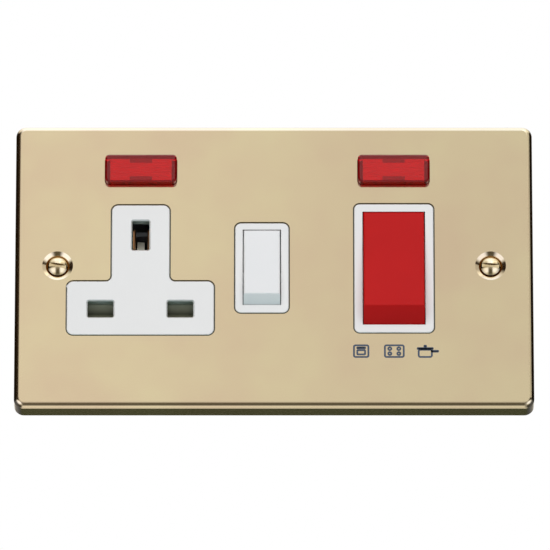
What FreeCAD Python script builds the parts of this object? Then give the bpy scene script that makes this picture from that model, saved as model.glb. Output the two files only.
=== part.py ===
import FreeCAD, Part
import math

# Cooker control unit: a brass front plate that carries a switched 13 A socket outlet on the
# left and a double-pole cooker switch on the right, each with a red neon indicator above it.
# Millimetres. +Z is up, +X is right, the front faces -Y. The origin is the middle of the
# plate's back rim, on the wall plane, so everything with y above 0 sits in the wall box.

V = FreeCAD.Vector

# Front plate: a pressed tray of polished brass
PLATE_WIDTH = 144.4
PLATE_HEIGHT = 84.6
PLATE_PROUD = 6.6
PLATE_METAL = 1.2
PLATE_CORNER = 2.8
PLATE_EDGE = 1.5
WINDOW_GAP = 0.3

# Fixing screws at the standard pitch of a double wall box, M3.5 with raised slotted heads
FIXING_PITCH = 120.65
SCREW_R = 1.75
SCREW_NECK_R = 1.55
SCREW_HEAD_R = 3.3
SCREW_DOME_R = 2.7
SCREW_DOME = 1.0
SCREW_SLOT = 1.1
SCREW_SLOT_DEPTH = 0.75
SCREW_REACH = 19.0
SCREW_CLEARANCE = 0.4
SCREW_SLOT_TURN_LEFT = 9.0
SCREW_SLOT_TURN_RIGHT = 4.0
DISH_R = 4.3
DISH_DEPTH = 0.5
DISH_WALL = 0.9
BOX_LUG_R = 6.4

# Plate posts that hold the mouldings, with a push-on washer on each
POST_R = 1.25
POST_HOLE_R = 1.4
EAR_R = 3.4
WASHER_R = 2.6
WASHER_T = 0.5

# White mouldings
COVER_FRONT = 1.4
COVER_WALL = 1.6
FACE_EDGE = 0.35
FIT = 0.15

# Socket outlet, 13 A pattern
SOCKET_X = -37.2
PIN_SPACING = 22.2
EARTH_Z = 9.2
LIVE_Z = -13.0
EARTH_HOLE_W = 4.8
EARTH_HOLE_H = 8.8
LIVE_HOLE_W = 7.2
LIVE_HOLE_H = 4.8
HOLE_CORNER = 0.4
HOLE_LEAD_IN = 0.35
EARTH_PIN_H = 8.0
T_STEM_W = 16.2
T_BASE_W = 41.0
T_TOP = 18.3
T_SHOULDER = -4.65
T_BOTTOM = -20.8
T_CORNER = 1.85
T_FILLET = 1.6

# Socket mouldings behind the plate
SOCKET_LEFT = -59.0
SOCKET_RIGHT = 6.0
SOCKET_LOW = -28.0
SOCKET_HIGH = 21.0
SOCKET_PARTING = 4.0
SOCKET_BACK = 22.0
MODULE_CORNER = 2.0
BASE_FLOOR = 2.0

# Shutter
SHUTTER_T = 2.4
SHUTTER_CLEAR = 0.3
SHUTTER_TRAVEL = 5.8
SHUTTER_OVERLAP = 0.6
SHUTTER_BAR_W = 30.6
SHUTTER_WEB_W = 6.0
SHUTTER_RAMP_W = 2.0
SHUTTER_RAMP_DEPTH = 6.7
SHUTTER_GROOVE = 1.2
SHUTTER_PEG_R = 0.6
SHUTTER_PEG = 1.6
SHUTTER_SPRING_R = 1.2
SHUTTER_SPRING_WIRE_R = 0.17
SHUTTER_SPRING_TURNS = 8
GUIDE_T = 1.2

# Socket contacts, folded from strip
CONTACT_T = 0.8
CONTACT_BEND = 0.4
CONTACT_MOUTH = 3.0
CONTACT_PINCH = 2.1
CONTACT_HEEL = 2.8
LIVE_CONTACT_W = 6.0
LIVE_CONTACT_FRONT = 0.3
LIVE_CONTACT_BACK = 13.0
EARTH_CONTACT_H = 7.0
EARTH_CONTACT_FRONT = 4.6
EARTH_CONTACT_BACK = 17.4
CONTACT_PINCH_BACK = 3.2
POCKET_GAP = 0.5
TOWER_WALL = 1.2
TOWER_FRONT = -0.9

# Rocker switches: opening, frame and depth of the pivot behind the wall plane
ROCKER_GAP = 0.25
ROCKER_WALL = 1.6
ROCKER_EDGE = 0.5
ROCKER_CHEEK_T = 1.3
ROCKER_CHEEK_R = 3.6
TRUNNION_R = 1.5
TRUNNION_REACH = 1.5
TRUNNION_CLEAR = 0.06
BEARING_R = 4.6
TOWER_R = 2.5
TOWER_REACH = 2.0
PLUNGER_R = 1.5
PLUNGER_CLEAR = 0.08
PLUNGER_TAIL = 1.5
PLUNGER_SPRING_R = 1.1
PLUNGER_SPRING_WIRE_R = 0.18
PLUNGER_SPRING_TURNS = 5
PLUNGER_GAP = 0.15
FULCRUM_GAP = 0.15
FULCRUM_HALF = 2.0
CONTACT_GAP = 0.2
ARC_MARGIN = 7.0

# Cooker switch mouldings
COOKER_LEFT = 10.5
COOKER_RIGHT = 56.3
COOKER_COVER_LOW = -22.5
COOKER_COVER_HIGH = 21.0
COOKER_PARTING = 9.0
COOKER_SHELF_BACK = 13.0
COOKER_SHELF_LOW = -32.0
COOKER_SHELF_HIGH = 31.0
COOKER_BOX_HALF_W = 10.9
COOKER_BOX_LOW = -18.0
COOKER_BOX_HIGH = 17.0
COOKER_BACK = 28.0
PARTITION_T = 1.5
BARRIER_T = 1.4
BARRIER_BACK = 24.0

# Terminals: brass blocks with a cable bore along Z and a clamp screw from the back
TERMINAL_OFFSET = 11.0
TERMINAL_W = 9.0
TERMINAL_D = 11.0
TERMINAL_L = 12.0
TERMINAL_BORE_R = 3.0
TERMINAL_SEAT_GAP = 0.5
CLAMP_R = 2.4
CLAMP_HEAD_R = 3.2
CLAMP_HEAD = 2.2
CLAMP_STICK_OUT = 0.4
CLAMP_SLOT = 1.0
CLAMP_CLEAR = 0.1
CLAMP_INSET = 3.0
EARTH_CLAMP_INSET = 4.0
THREAD_GAP = 0.05
STRAP_T = 1.0
STRAP_W = 5.0
EARTH_BLOCK_W = 10.0
EARTH_BLOCK_D = 9.0
EARTH_BLOCK_LOW = 8.0
EARTH_BORE_R = 2.6
EARTH_STRAP_T = 0.8
EARTH_STRAP_W = 6.0
EARTH_STRAP_X = -17.0
EARTH_STRAP_LOW = 12.0
EARTH_STRAP_TOP = 29.6
LINK_R = 1.3
LINK_BEND = 4.0
LINK_BACK = 31.0
LINK_LANDING = 3.0

# Case screws
CASE_SCREW_R = 1.45
CASE_SCREW_HEAD_R = 2.6
CASE_SCREW_HEAD = 1.8
CASE_RECESS_W = 0.6
CASE_RECESS = 0.9
CASE_BOSS_R = 2.8
CASE_HOLE_R = 1.7
CASE_SCREW_BITE = 5.0
SOCKET_SCREW_X = 17.3
SOCKET_SCREW_HIGH = 15.5
SOCKET_SCREW_LOW = -24.9
COOKER_SCREW_X = 18.4
COOKER_SCREW_Z = 13.0
COOKER_COLUMN = 18.0

# Neon indicators
NEON_Z = 28.65
LENS_W = 20.0
LENS_H = 8.3
LENS_PROUD = 2.4
LENS_WALL = 1.4
LENS_FRONT = 0.9
LENS_CORNER = 1.2
LENS_BEVEL = 0.5
LENS_BACK = -2.6
LENS_TAB_W = 6.2
LENS_TAB = 0.8
HOLDER_T = 1.2
HOLDER_RIB = 1.0
HOLDER_RIB_X = 4.0
LAMP_R = 2.0
LAMP_L = 12.0
LAMP_LEAD_R = 0.3
LAMP_LEAD_X = 7.4
RESISTOR_R = 1.2
RESISTOR_L = 6.5
RESISTOR_EDGE = 0.4
LAMP_GAP = 0.25

FACE_Y = -PLATE_PROUD
PLATE_INNER_Y = FACE_Y + PLATE_METAL
COVER_INNER_Y = PLATE_INNER_Y + COVER_FRONT
FIXING_X = FIXING_PITCH / 2
PIN_OFFSET = PIN_SPACING / 2
NEUTRAL_X = SOCKET_X - PIN_OFFSET
LINE_X = SOCKET_X + PIN_OFFSET
SHUTTER_FRONT = COVER_INNER_Y + SHUTTER_CLEAR
SHUTTER_BACK = SHUTTER_FRONT + SHUTTER_T
OUTSIDE = 5.0
TOUCH = 1e-4


class Switch:
    """Sizes of one rocker switch, from its opening to its rocking contacts."""

    def __init__(self, x, z, opening_w, opening_h, frame_w, frame_low, frame_high, frame_corner,
                 pivot_y, throw, poles, reach, contact_w, contact_t, contact_half, button_at,
                 button_r, button_h, tilt):
        self.x = x
        self.z = z
        self.opening_w = opening_w
        self.opening_h = opening_h
        self.frame_w = frame_w
        self.frame_low = frame_low
        self.frame_high = frame_high
        self.frame_corner = frame_corner
        self.pivot_y = pivot_y
        self.throw = throw
        self.poles = poles
        self.contact_w = contact_w
        self.contact_t = contact_t
        self.contact_half = contact_half
        self.button_at = button_at
        self.button_r = button_r
        self.button_h = button_h
        self.tilt = tilt
        self.reach = reach
        self.face_depth = pivot_y - FACE_Y
        self.opening_r = math.hypot(opening_h / 2, self.face_depth)
        self.rocker_r = self.opening_r - ROCKER_GAP
        self.rocker_w = opening_w - 2 * ROCKER_GAP
        edge_angle = math.acos(self.face_depth / self.rocker_r) - math.radians(throw / 2)
        self.face_reach = self.rocker_r * math.cos(edge_angle)
        skirt_angle = edge_angle + math.radians(throw + ARC_MARGIN)
        self.skirt_reach = self.rocker_r * math.cos(skirt_angle)
        self.contact_front = pivot_y + reach + PLUNGER_GAP
        self.contact_back = self.contact_front + contact_t
        self.fulcrum_y = self.contact_back + FULCRUM_GAP
        swing = (button_at + button_r) * math.sin(math.radians(tilt))
        self.fixed_button_y = self.contact_back + button_h + swing + CONTACT_GAP
        self.fixed_y = self.fixed_button_y + button_h

    def pivot(self):
        return V(self.x, self.pivot_y, self.z)

    def fulcrum(self):
        return V(self.x, self.fulcrum_y, self.z)


SOCKET_SWITCH = Switch(x=-3.4, z=-0.5, opening_w=10.7, opening_h=22.7, frame_w=15.0,
                       frame_low=-14.2, frame_high=12.87, frame_corner=1.75, pivot_y=1.1,
                       throw=14.3, poles=[0.0], reach=7.5, contact_w=5.0, contact_t=1.2,
                       contact_half=9.5, button_at=7.6, button_r=1.6, button_h=0.6, tilt=8.0)
COOKER_SWITCH = Switch(x=33.4, z=-0.72, opening_w=17.5, opening_h=34.05, frame_w=22.2,
                       frame_low=-20.16, frame_high=18.62, frame_corner=1.6, pivot_y=6.0,
                       throw=15.5, poles=[-5.0, 5.0], reach=9.0, contact_w=5.0, contact_t=1.5,
                       contact_half=11.5, button_at=9.2, button_r=1.9, button_h=0.8, tilt=8.0)

NEON_CENTRES = {"socket": SOCKET_X, "cooker": COOKER_SWITCH.x}
SOCKET_EARS = [(SOCKET_SWITCH.x, SOCKET_HIGH + EAR_R), (SOCKET_X, SOCKET_LOW - EAR_R)]
COOKER_EARS = [(50.0, COOKER_COVER_HIGH + EAR_R), (COOKER_SWITCH.x, COOKER_COVER_LOW - EAR_R)]
STRAP_POST = (EARTH_STRAP_X, EARTH_STRAP_TOP - EAR_R)
SOCKET_SCREWS = [(SOCKET_X + side * SOCKET_SCREW_X, z)
                 for side in (-1, 1) for z in (SOCKET_SCREW_LOW, SOCKET_SCREW_HIGH)]
COOKER_SCREWS = [(COOKER_SWITCH.x + side * COOKER_SCREW_X, level * COOKER_SCREW_Z)
                 for side in (-1, 1) for level in (-1, 1)]


def box(x0, x1, y0, y1, z0, z1):
    return Part.makeBox(x1 - x0, y1 - y0, z1 - z0, V(x0, y0, z0))


def rod(start, end, radius):
    """Round rod from one point to another."""
    axis = end - start
    return Part.makeCylinder(radius, axis.Length, start, axis)


def rounded_wire(corners, radii):
    """Closed wire through the corners, each rounded to its radius (0 leaves it sharp)."""
    count = len(corners)
    joints = []
    for index, radius in enumerate(radii):
        corner = corners[index]
        back = (corners[index - 1] - corner).normalize()
        ahead = (corners[(index + 1) % count] - corner).normalize()
        if radius <= 0:
            joints.append((corner, None, corner))
            continue
        half = back.getAngle(ahead) / 2
        reach = radius / math.tan(half)
        bisector = (back + ahead).normalize()
        middle = corner + bisector * (radius / math.sin(half) - radius)
        joints.append((corner + back * reach, middle, corner + ahead * reach))
    edges = []
    for index, (start, middle, end) in enumerate(joints):
        if middle is not None:
            edges.append(Part.Arc(start, middle, end).toShape())
        following = joints[(index + 1) % count][0]
        if end.distanceToPoint(following) > TOUCH:
            edges.append(Part.makeLine(end, following))
    return Part.Wire(edges)


def prism(corners, radii, sweep):
    """Solid swept along a vector from a closed outline with rounded corners."""
    return Part.Face(rounded_wire(corners, radii)).extrude(sweep)


def slab(x0, x1, y0, y1, z0, z1, corner):
    """Block with its four edges along Y rounded."""
    corners = [V(x0, y0, z0), V(x1, y0, z0), V(x1, y0, z1), V(x0, y0, z1)]
    return prism(corners, [corner] * 4, V(0, y1 - y0, 0))


def strip(points, thickness, bend, sweep):
    """Bent strip: a centre line in one plane, thickened both ways and swept to its width."""
    normal = V(sweep).normalize()
    count = len(points)
    left = []
    right = []
    turns = []
    for index, point in enumerate(points):
        before = (point - points[index - 1]).normalize() if index > 0 else None
        after = (points[index + 1] - point).normalize() if index < count - 1 else None
        heading = (before or after) + (after or before)
        heading.normalize()
        side = normal.cross(heading)
        scale = thickness / 2 / side.dot(normal.cross(after or before))
        left.append(point + side * scale)
        right.append(point - side * scale)
        turns.append(0.0 if before is None or after is None else normal.dot(before.cross(after)))
    left_radii = [corner_radius(turn, bend, thickness, 1) for turn in turns]
    right_radii = [corner_radius(turn, bend, thickness, -1) for turn in turns]
    return prism(left + right[::-1], left_radii + right_radii[::-1], sweep)


def corner_radius(turn, bend, thickness, side):
    """Inside or outside radius of a strip's bend, by which side of the turn it is on."""
    if abs(turn) < TOUCH:
        return 0.0
    return bend if turn * side > 0 else bend + thickness


def coil(base, radius, wire_r, height, turns):
    """Helical spring that stands on base along +Z, its wire inside the height."""
    rise = height - 2 * wire_r
    helix = Part.makeHelix(rise / turns, rise, radius)
    section = Part.Wire(Part.makeCircle(wire_r, V(radius, 0, 0), V(0, 1, 0)))
    spring = Part.Wire(helix.Edges).makePipeShell([section], True, True)
    spring.translate(base + V(0, 0, wire_r))
    return spring


def fuse(shapes):
    """One clean solid of several."""
    merged = shapes[0].multiFuse(shapes[1:]) if len(shapes) > 1 else shapes[0]
    return merged.removeSplitter()


def edges_at(shape, y, inside=None):
    """Edges that lie wholly in the plane y, and inside the given box if there is one."""
    found = []
    for edge in shape.Edges:
        bounds = edge.BoundBox
        flat = abs(bounds.YMin - y) < TOUCH and abs(bounds.YMax - y) < TOUCH
        if flat and (inside is None or inside.isInside(bounds)):
            found.append(edge)
    return found


def export(name, shape):
    shape.exportStep("parts/" + name + ".step")


def t_outline(grow, y):
    """The T of the socket face, grown outwards on every side."""
    stem = T_STEM_W / 2 + grow
    base = T_BASE_W / 2 + grow
    top = T_TOP + grow
    shoulder = T_SHOULDER + grow
    bottom = T_BOTTOM - grow
    points = [(-base, bottom), (base, bottom), (base, shoulder), (stem, shoulder),
              (stem, top), (-stem, top), (-stem, shoulder), (-base, shoulder)]
    corners = [V(SOCKET_X + x, y, z) for x, z in points]
    outer = T_CORNER + grow
    inner = T_FILLET - grow
    return corners, [outer, outer, outer, inner, outer, outer, inner, outer]


def t_block(grow, y0, y1):
    corners, radii = t_outline(grow, y0)
    return prism(corners, radii, V(0, y1 - y0, 0))


def frame_block(switch, grow, y0, y1):
    half = switch.frame_w / 2 + grow
    return slab(switch.x - half, switch.x + half, y0, y1, switch.frame_low - grow,
                switch.frame_high + grow, switch.frame_corner + grow)


def lens_block(x, grow, y0, y1):
    half_w = LENS_W / 2 + grow
    half_h = LENS_H / 2 + grow
    return slab(x - half_w, x + half_w, y0, y1, NEON_Z - half_h, NEON_Z + half_h,
                LENS_CORNER + grow)


def box_lugs(y0, y1):
    """Room kept free round the fixing screws for the wall box's lugs."""
    return [rod(V(side * FIXING_X, y0, 0), V(side * FIXING_X, y1, 0), BOX_LUG_R)
            for side in (-1, 1)]


def turned(profile, x, z):
    """Solid of revolution about the Y axis through (x, z); profile is (radius, y) points."""
    corners = [V(x + radius, y, z) for radius, y in profile]
    wire = Part.makePolygon(corners + [corners[0]])
    return Part.Face(wire).revolve(V(x, 0, z), V(0, 1, 0), 360)


def countersink_end():
    """Depth at which the countersink meets the screw's clearance hole."""
    return FACE_Y + DISH_DEPTH + SCREW_HEAD_R - SCREW_NECK_R - SCREW_CLEARANCE


def front_plate():
    half_w = PLATE_WIDTH / 2
    half_h = PLATE_HEIGHT / 2
    tray = slab(-half_w, half_w, FACE_Y, 0, -half_h, half_h, PLATE_CORNER)
    tray = tray.makeFillet(PLATE_EDGE, edges_at(tray, FACE_Y))
    inner_w = half_w - PLATE_METAL
    inner_h = half_h - PLATE_METAL
    hollow = slab(-inner_w, inner_w, PLATE_INNER_Y, OUTSIDE, -inner_h, inner_h,
                  PLATE_CORNER - PLATE_METAL)
    hollow = hollow.makeFillet(PLATE_EDGE - PLATE_METAL, edges_at(hollow, PLATE_INNER_Y))
    tray = tray.cut(hollow)
    seat_end = countersink_end()
    hole_r = SCREW_NECK_R + SCREW_CLEARANCE
    backs = []
    dishes = []
    for side in (-1, 1):
        x = side * FIXING_X
        backs.append(turned([(0, PLATE_INNER_Y - PLATE_METAL / 2),
                             (DISH_R + DISH_WALL, PLATE_INNER_Y - PLATE_METAL / 2),
                             (DISH_R + DISH_WALL, PLATE_INNER_Y),
                             (hole_r + DISH_WALL, seat_end + DISH_WALL),
                             (0, seat_end + DISH_WALL)], x, 0))
        dishes.append(turned([(0, FACE_Y - OUTSIDE), (DISH_R, FACE_Y - OUTSIDE),
                              (DISH_R, FACE_Y), (SCREW_HEAD_R, FACE_Y + DISH_DEPTH),
                              (hole_r, seat_end), (hole_r, seat_end + OUTSIDE),
                              (0, seat_end + OUTSIDE)], x, 0))
    posts = []
    for x, z in SOCKET_EARS + COOKER_EARS:
        posts.append(rod(V(x, PLATE_INNER_Y, z), V(x, COVER_INNER_Y + 2 * WASHER_T, z), POST_R))
    strap_x, strap_z = STRAP_POST
    strap_end = PLATE_INNER_Y + EARTH_STRAP_T + 2 * WASHER_T
    posts.append(rod(V(strap_x, PLATE_INNER_Y, strap_z), V(strap_x, strap_end, strap_z), POST_R))
    windows = [t_block(WINDOW_GAP, FACE_Y - OUTSIDE, OUTSIDE)]
    for switch in (SOCKET_SWITCH, COOKER_SWITCH):
        windows.append(frame_block(switch, WINDOW_GAP, FACE_Y - OUTSIDE, OUTSIDE))
    for x in NEON_CENTRES.values():
        windows.append(lens_block(x, FIT, FACE_Y - OUTSIDE, OUTSIDE))
    return fuse([tray] + backs + posts).cut(windows + dishes).removeSplitter()


def fixing_screw(side, slot_turn):
    """Raised countersunk slotted screw with a groove round its dome, and a thin neck."""
    x = side * FIXING_X
    rim_y = FACE_Y + DISH_DEPTH - THREAD_GAP
    neck_y = rim_y + SCREW_HEAD_R - SCREW_NECK_R
    shank_y = -DISH_DEPTH
    groove_y = rim_y + SCREW_HEAD_R - THREAD_GAP - SCREW_DOME_R
    body = turned([(0, rim_y), (SCREW_DOME_R, rim_y), (SCREW_DOME_R, groove_y), (SCREW_NECK_R, neck_y),
                   (SCREW_NECK_R, shank_y), (SCREW_R, shank_y), (SCREW_R, SCREW_REACH),
                   (SCREW_R - DISH_DEPTH, SCREW_REACH + DISH_DEPTH),
                   (0, SCREW_REACH + DISH_DEPTH)], x, 0)
    ball_r = (SCREW_DOME_R ** 2 + SCREW_DOME ** 2) / (2 * SCREW_DOME)
    ball = Part.makeSphere(ball_r, V(x, rim_y - SCREW_DOME + ball_r, 0))
    dome = ball.common(rod(V(x, rim_y - SCREW_DOME, 0), V(x, rim_y, 0), SCREW_DOME_R))
    slot = box(x - OUTSIDE, x + OUTSIDE, rim_y - 2 * SCREW_DOME,
               rim_y - SCREW_DOME + SCREW_SLOT_DEPTH, -SCREW_SLOT / 2, SCREW_SLOT / 2)
    slot.rotate(V(x, 0, 0), V(0, 1, 0), slot_turn)
    return fuse([body, dome]).cut(slot)


def opening_cut(switch):
    """Opening that a rocker turns in: its ends follow an arc round the pivot."""
    half = switch.opening_w / 2
    pivot = switch.pivot()
    drum = rod(pivot - V(half, 0, 0), pivot + V(half, 0, 0), switch.opening_r)
    window = box(switch.x - half, switch.x + half, FACE_Y - OUTSIDE, switch.pivot_y,
                 switch.z - switch.opening_r, switch.z + switch.opening_r)
    return drum.common(window)


def bearings(switch, parting):
    """The two cheeks inside a cover that hold the rocker's trunnions."""
    cheeks = []
    for side in (-1, 1):
        x0 = switch.x + side * switch.opening_w / 2
        x1 = switch.x + side * switch.frame_w / 2
        cheeks.append(box(min(x0, x1), max(x0, x1), PLATE_INNER_Y, parting,
                          switch.z - BEARING_R, switch.z + BEARING_R))
    return cheeks


def trunnion_bore(switch):
    half = switch.opening_w / 2 + TRUNNION_REACH + FIT
    pivot = switch.pivot()
    return rod(pivot - V(half, 0, 0), pivot + V(half, 0, 0), TRUNNION_R + TRUNNION_CLEAR)


def cover_shell(x0, x1, z0, z1, parting):
    """Open-backed shell that seats against the inside of the plate."""
    outer = slab(x0, x1, PLATE_INNER_Y, parting, z0, z1, MODULE_CORNER)
    inner = slab(x0 + COVER_WALL, x1 - COVER_WALL, COVER_INNER_Y, parting + OUTSIDE,
                 z0 + COVER_WALL, z1 - COVER_WALL, MODULE_CORNER - COVER_WALL / 2)
    return outer.cut(inner)


def ears(places, edge_z):
    """Ears with post holes; edge_z gives the side of the shell that each stands on."""
    tabs = []
    for (x, z), edge in zip(places, edge_z):
        low = min(z, edge)
        high = max(z, edge)
        tabs.append(fuse([box(x - EAR_R, x + EAR_R, PLATE_INNER_Y, COVER_INNER_Y, low, high),
                          rod(V(x, PLATE_INNER_Y, z), V(x, COVER_INNER_Y, z), EAR_R)]))
    return tabs


def post_holes(places):
    return [rod(V(x, PLATE_INNER_Y - OUTSIDE, z), V(x, OUTSIDE, z), POST_HOLE_R)
            for x, z in places]


def socket_aperture(x, z, width, height):
    return slab(x - width / 2, x + width / 2, FACE_Y - OUTSIDE, OUTSIDE, z - height / 2,
                z + height / 2, HOLE_CORNER)


def lead_in(x, z, width, height):
    """Bevelled mouth of an aperture, a loft from the aperture to a larger outline."""
    half_w = width / 2
    half_h = height / 2
    wires = []
    for grow, y in ((HOLE_LEAD_IN, FACE_Y), (0.0, FACE_Y + HOLE_LEAD_IN)):
        corners = [V(x + sx * (half_w + grow), y, z + sz * (half_h + grow))
                   for sx, sz in ((-1, -1), (1, -1), (1, 1), (-1, 1))]
        wires.append(rounded_wire(corners, [HOLE_CORNER + grow] * 4))
    return Part.makeLoft(wires, True, True)


APERTURES = [(SOCKET_X, EARTH_Z, EARTH_HOLE_W, EARTH_HOLE_H),
             (LINE_X, LIVE_Z, LIVE_HOLE_W, LIVE_HOLE_H),
             (NEUTRAL_X, LIVE_Z, LIVE_HOLE_W, LIVE_HOLE_H)]


def softened(block):
    """Face block with its front edges eased."""
    return block.makeFillet(FACE_EDGE, edges_at(block, FACE_Y))


def case_bosses(places, y0, y1):
    return [rod(V(x, y0, z), V(x, y1, z), CASE_BOSS_R) for x, z in places]


def case_holes(places, y0, y1, radius):
    return [rod(V(x, y0, z), V(x, y1, z), radius) for x, z in places]


def socket_cover():
    switch = SOCKET_SWITCH
    shell = cover_shell(SOCKET_LEFT, SOCKET_RIGHT, SOCKET_LOW, SOCKET_HIGH, SOCKET_PARTING)
    face = softened(t_block(0, FACE_Y, COVER_INNER_Y))
    frame = softened(frame_block(switch, 0, FACE_Y, COVER_INNER_Y))
    guides = []
    for side in (-1, 1):
        inner = SOCKET_X + side * (SHUTTER_BAR_W / 2 + SHUTTER_CLEAR)
        outer = inner + side * GUIDE_T
        guides.append(box(min(inner, outer), max(inner, outer), COVER_INNER_Y, TOWER_FRONT,
                          SOCKET_SCREW_LOW + CASE_BOSS_R + FIT, LIVE_Z + LIVE_HOLE_H))
    bosses = case_bosses(SOCKET_SCREWS, COVER_INNER_Y, SOCKET_PARTING)
    tabs = ears(SOCKET_EARS, [SOCKET_HIGH - COVER_WALL, SOCKET_LOW + COVER_WALL])
    body = fuse([shell, face, frame] + guides + bosses + tabs + bearings(switch, SOCKET_PARTING))
    cuts = [opening_cut(switch), trunnion_bore(switch)] + box_lugs(PLATE_INNER_Y, OUTSIDE)
    cuts += case_holes(SOCKET_SCREWS, SOCKET_PARTING - CASE_SCREW_BITE - FIT, SOCKET_PARTING,
                       CASE_SCREW_R + THREAD_GAP)
    cuts += post_holes(SOCKET_EARS)
    for aperture in APERTURES:
        cuts.append(socket_aperture(*aperture))
        cuts.append(lead_in(*aperture))
    return body.cut(cuts).removeSplitter()


def contact_pocket(x, half_w):
    """Inner space of a tower that holds a line or neutral contact."""
    reach = CONTACT_MOUTH + CONTACT_T / 2 + POCKET_GAP
    return box(x - half_w, x + half_w, TOWER_FRONT, LIVE_CONTACT_BACK + CONTACT_T / 2 + FIT,
               LIVE_Z - reach, LIVE_Z + reach)


def switch_supports(switch, back):
    """Ribs on a base's floor under the fulcrum strap and the fixed contact of each pole."""
    ribs = []
    for pole in switch.poles:
        x0 = switch.x + pole - switch.contact_w / 2
        x1 = switch.x + pole + switch.contact_w / 2
        top = switch.z + switch.button_at
        for low in (top - switch.button_r - STRAP_T, top + switch.button_r):
            ribs.append(box(x0, x1, switch.fixed_y + STRAP_T, back, low, low + STRAP_T))
        ribs.append(box(x0, x1, switch.fixed_y + 2 * STRAP_T, back, switch.z - STRAP_T,
                        switch.z + STRAP_T))
    return ribs


def socket_base():
    switch = SOCKET_SWITCH
    outer = slab(SOCKET_LEFT, SOCKET_RIGHT, SOCKET_PARTING, SOCKET_BACK, SOCKET_LOW,
                 SOCKET_HIGH, MODULE_CORNER)
    inner = slab(SOCKET_LEFT + COVER_WALL, SOCKET_RIGHT - COVER_WALL,
                 SOCKET_PARTING - OUTSIDE, SOCKET_BACK - BASE_FLOOR,
                 SOCKET_LOW + COVER_WALL, SOCKET_HIGH - COVER_WALL,
                 MODULE_CORNER - COVER_WALL / 2)
    shell = outer.cut(inner)
    floor_y = SOCKET_BACK - BASE_FLOOR
    pocket_w = LIVE_CONTACT_W / 2 + POCKET_GAP
    reach = CONTACT_MOUTH + CONTACT_T / 2 + POCKET_GAP + TOWER_WALL
    towers = []
    for x in (LINE_X, NEUTRAL_X):
        towers.append(box(x - pocket_w - TOWER_WALL, x + pocket_w + TOWER_WALL, TOWER_FRONT,
                          floor_y, LIVE_Z - reach, LIVE_Z + reach))
    earth_half = EARTH_CONTACT_H / 2 + POCKET_GAP
    towers.append(box(SOCKET_X - reach, SOCKET_X + reach, SOCKET_PARTING, floor_y,
                      EARTH_Z - earth_half - TOWER_WALL, EARTH_Z + earth_half + TOWER_WALL))
    bosses = case_bosses(SOCKET_SCREWS, SOCKET_PARTING, floor_y)
    body = fuse([shell] + towers + bosses + switch_supports(switch, floor_y))
    mouth = reach - TOWER_WALL
    cuts = [contact_pocket(x, pocket_w) for x in (LINE_X, NEUTRAL_X)]
    cuts.append(box(SOCKET_X - mouth, SOCKET_X + mouth, SOCKET_PARTING - OUTSIDE,
                    EARTH_CONTACT_BACK + CONTACT_T / 2 + FIT, EARTH_Z - earth_half,
                    EARTH_Z + earth_half))
    cuts.append(earth_stub(FIT))
    cuts.append(line_tail(FIT))
    cuts += box_lugs(SOCKET_PARTING - OUTSIDE, SOCKET_BACK + OUTSIDE)
    cuts += case_holes(SOCKET_SCREWS, SOCKET_PARTING - OUTSIDE, SOCKET_BACK + OUTSIDE,
                       CASE_HOLE_R)
    cuts += case_holes(SOCKET_SCREWS, SOCKET_BACK - CASE_SCREW_HEAD, SOCKET_BACK + OUTSIDE,
                       CASE_SCREW_HEAD_R + FIT)
    hole_z = switch.z + switch.button_at
    for x, z in ((switch.x, hole_z), (NEUTRAL_X, LIVE_Z)):
        cuts.append(rod(V(x, LIVE_CONTACT_BACK, z), V(x, SOCKET_BACK + OUTSIDE, z),
                        LINK_R + FIT))
    return body.cut(cuts).removeSplitter()


def shutter_low():
    return LIVE_Z - LIVE_HOLE_H / 2 - SHUTTER_OVERLAP


def shutter():
    """Bar behind the two lower apertures, with a ramp that the earth pin drives down."""
    bar_top = shutter_low() + SHUTTER_TRAVEL + SHUTTER_OVERLAP
    half = SHUTTER_BAR_W / 2
    bar = box(SOCKET_X - half, SOCKET_X + half, SHUTTER_FRONT, SHUTTER_BACK, shutter_low(),
              bar_top)
    pin_low = EARTH_Z - EARTH_PIN_H / 2
    ramp_top = pin_low + SHUTTER_TRAVEL
    ramp_low = ramp_top - SHUTTER_RAMP_DEPTH
    web = box(SOCKET_X - SHUTTER_WEB_W / 2, SOCKET_X + SHUTTER_WEB_W / 2, SHUTTER_FRONT,
              SHUTTER_BACK, bar_top - SHUTTER_OVERLAP, ramp_low)
    ramp_x = SOCKET_X - SHUTTER_RAMP_W / 2
    ramp_back = SHUTTER_FRONT + SHUTTER_RAMP_DEPTH
    ramp = prism([V(ramp_x, SHUTTER_FRONT, ramp_low), V(ramp_x, ramp_back, ramp_top),
                  V(ramp_x, ramp_back, ramp_low - SHUTTER_T),
                  V(ramp_x, SHUTTER_FRONT, ramp_low - SHUTTER_T)],
                 [0, 0, 0, 0], V(SHUTTER_RAMP_W, 0, 0))
    groove_x = SOCKET_X - half
    groove = prism([V(groove_x, SHUTTER_FRONT, LIVE_Z - LIVE_HOLE_H / 2),
                    V(groove_x, SHUTTER_FRONT + SHUTTER_GROOVE, LIVE_Z),
                    V(groove_x, SHUTTER_FRONT, LIVE_Z + LIVE_HOLE_H / 2)],
                   [0, 0, 0], V(SHUTTER_BAR_W, 0, 0))
    middle = (SHUTTER_FRONT + SHUTTER_BACK) / 2
    peg = rod(V(SOCKET_X, middle, shutter_low() - SHUTTER_PEG), V(SOCKET_X, middle, LIVE_Z),
              SHUTTER_PEG_R)
    keep = box(SOCKET_X - SHUTTER_WEB_W / 2, SOCKET_X + SHUTTER_WEB_W / 2, SHUTTER_FRONT,
               SHUTTER_BACK, shutter_low(), bar_top)
    return fuse([bar.cut(groove), keep, web, ramp, peg])


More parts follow.
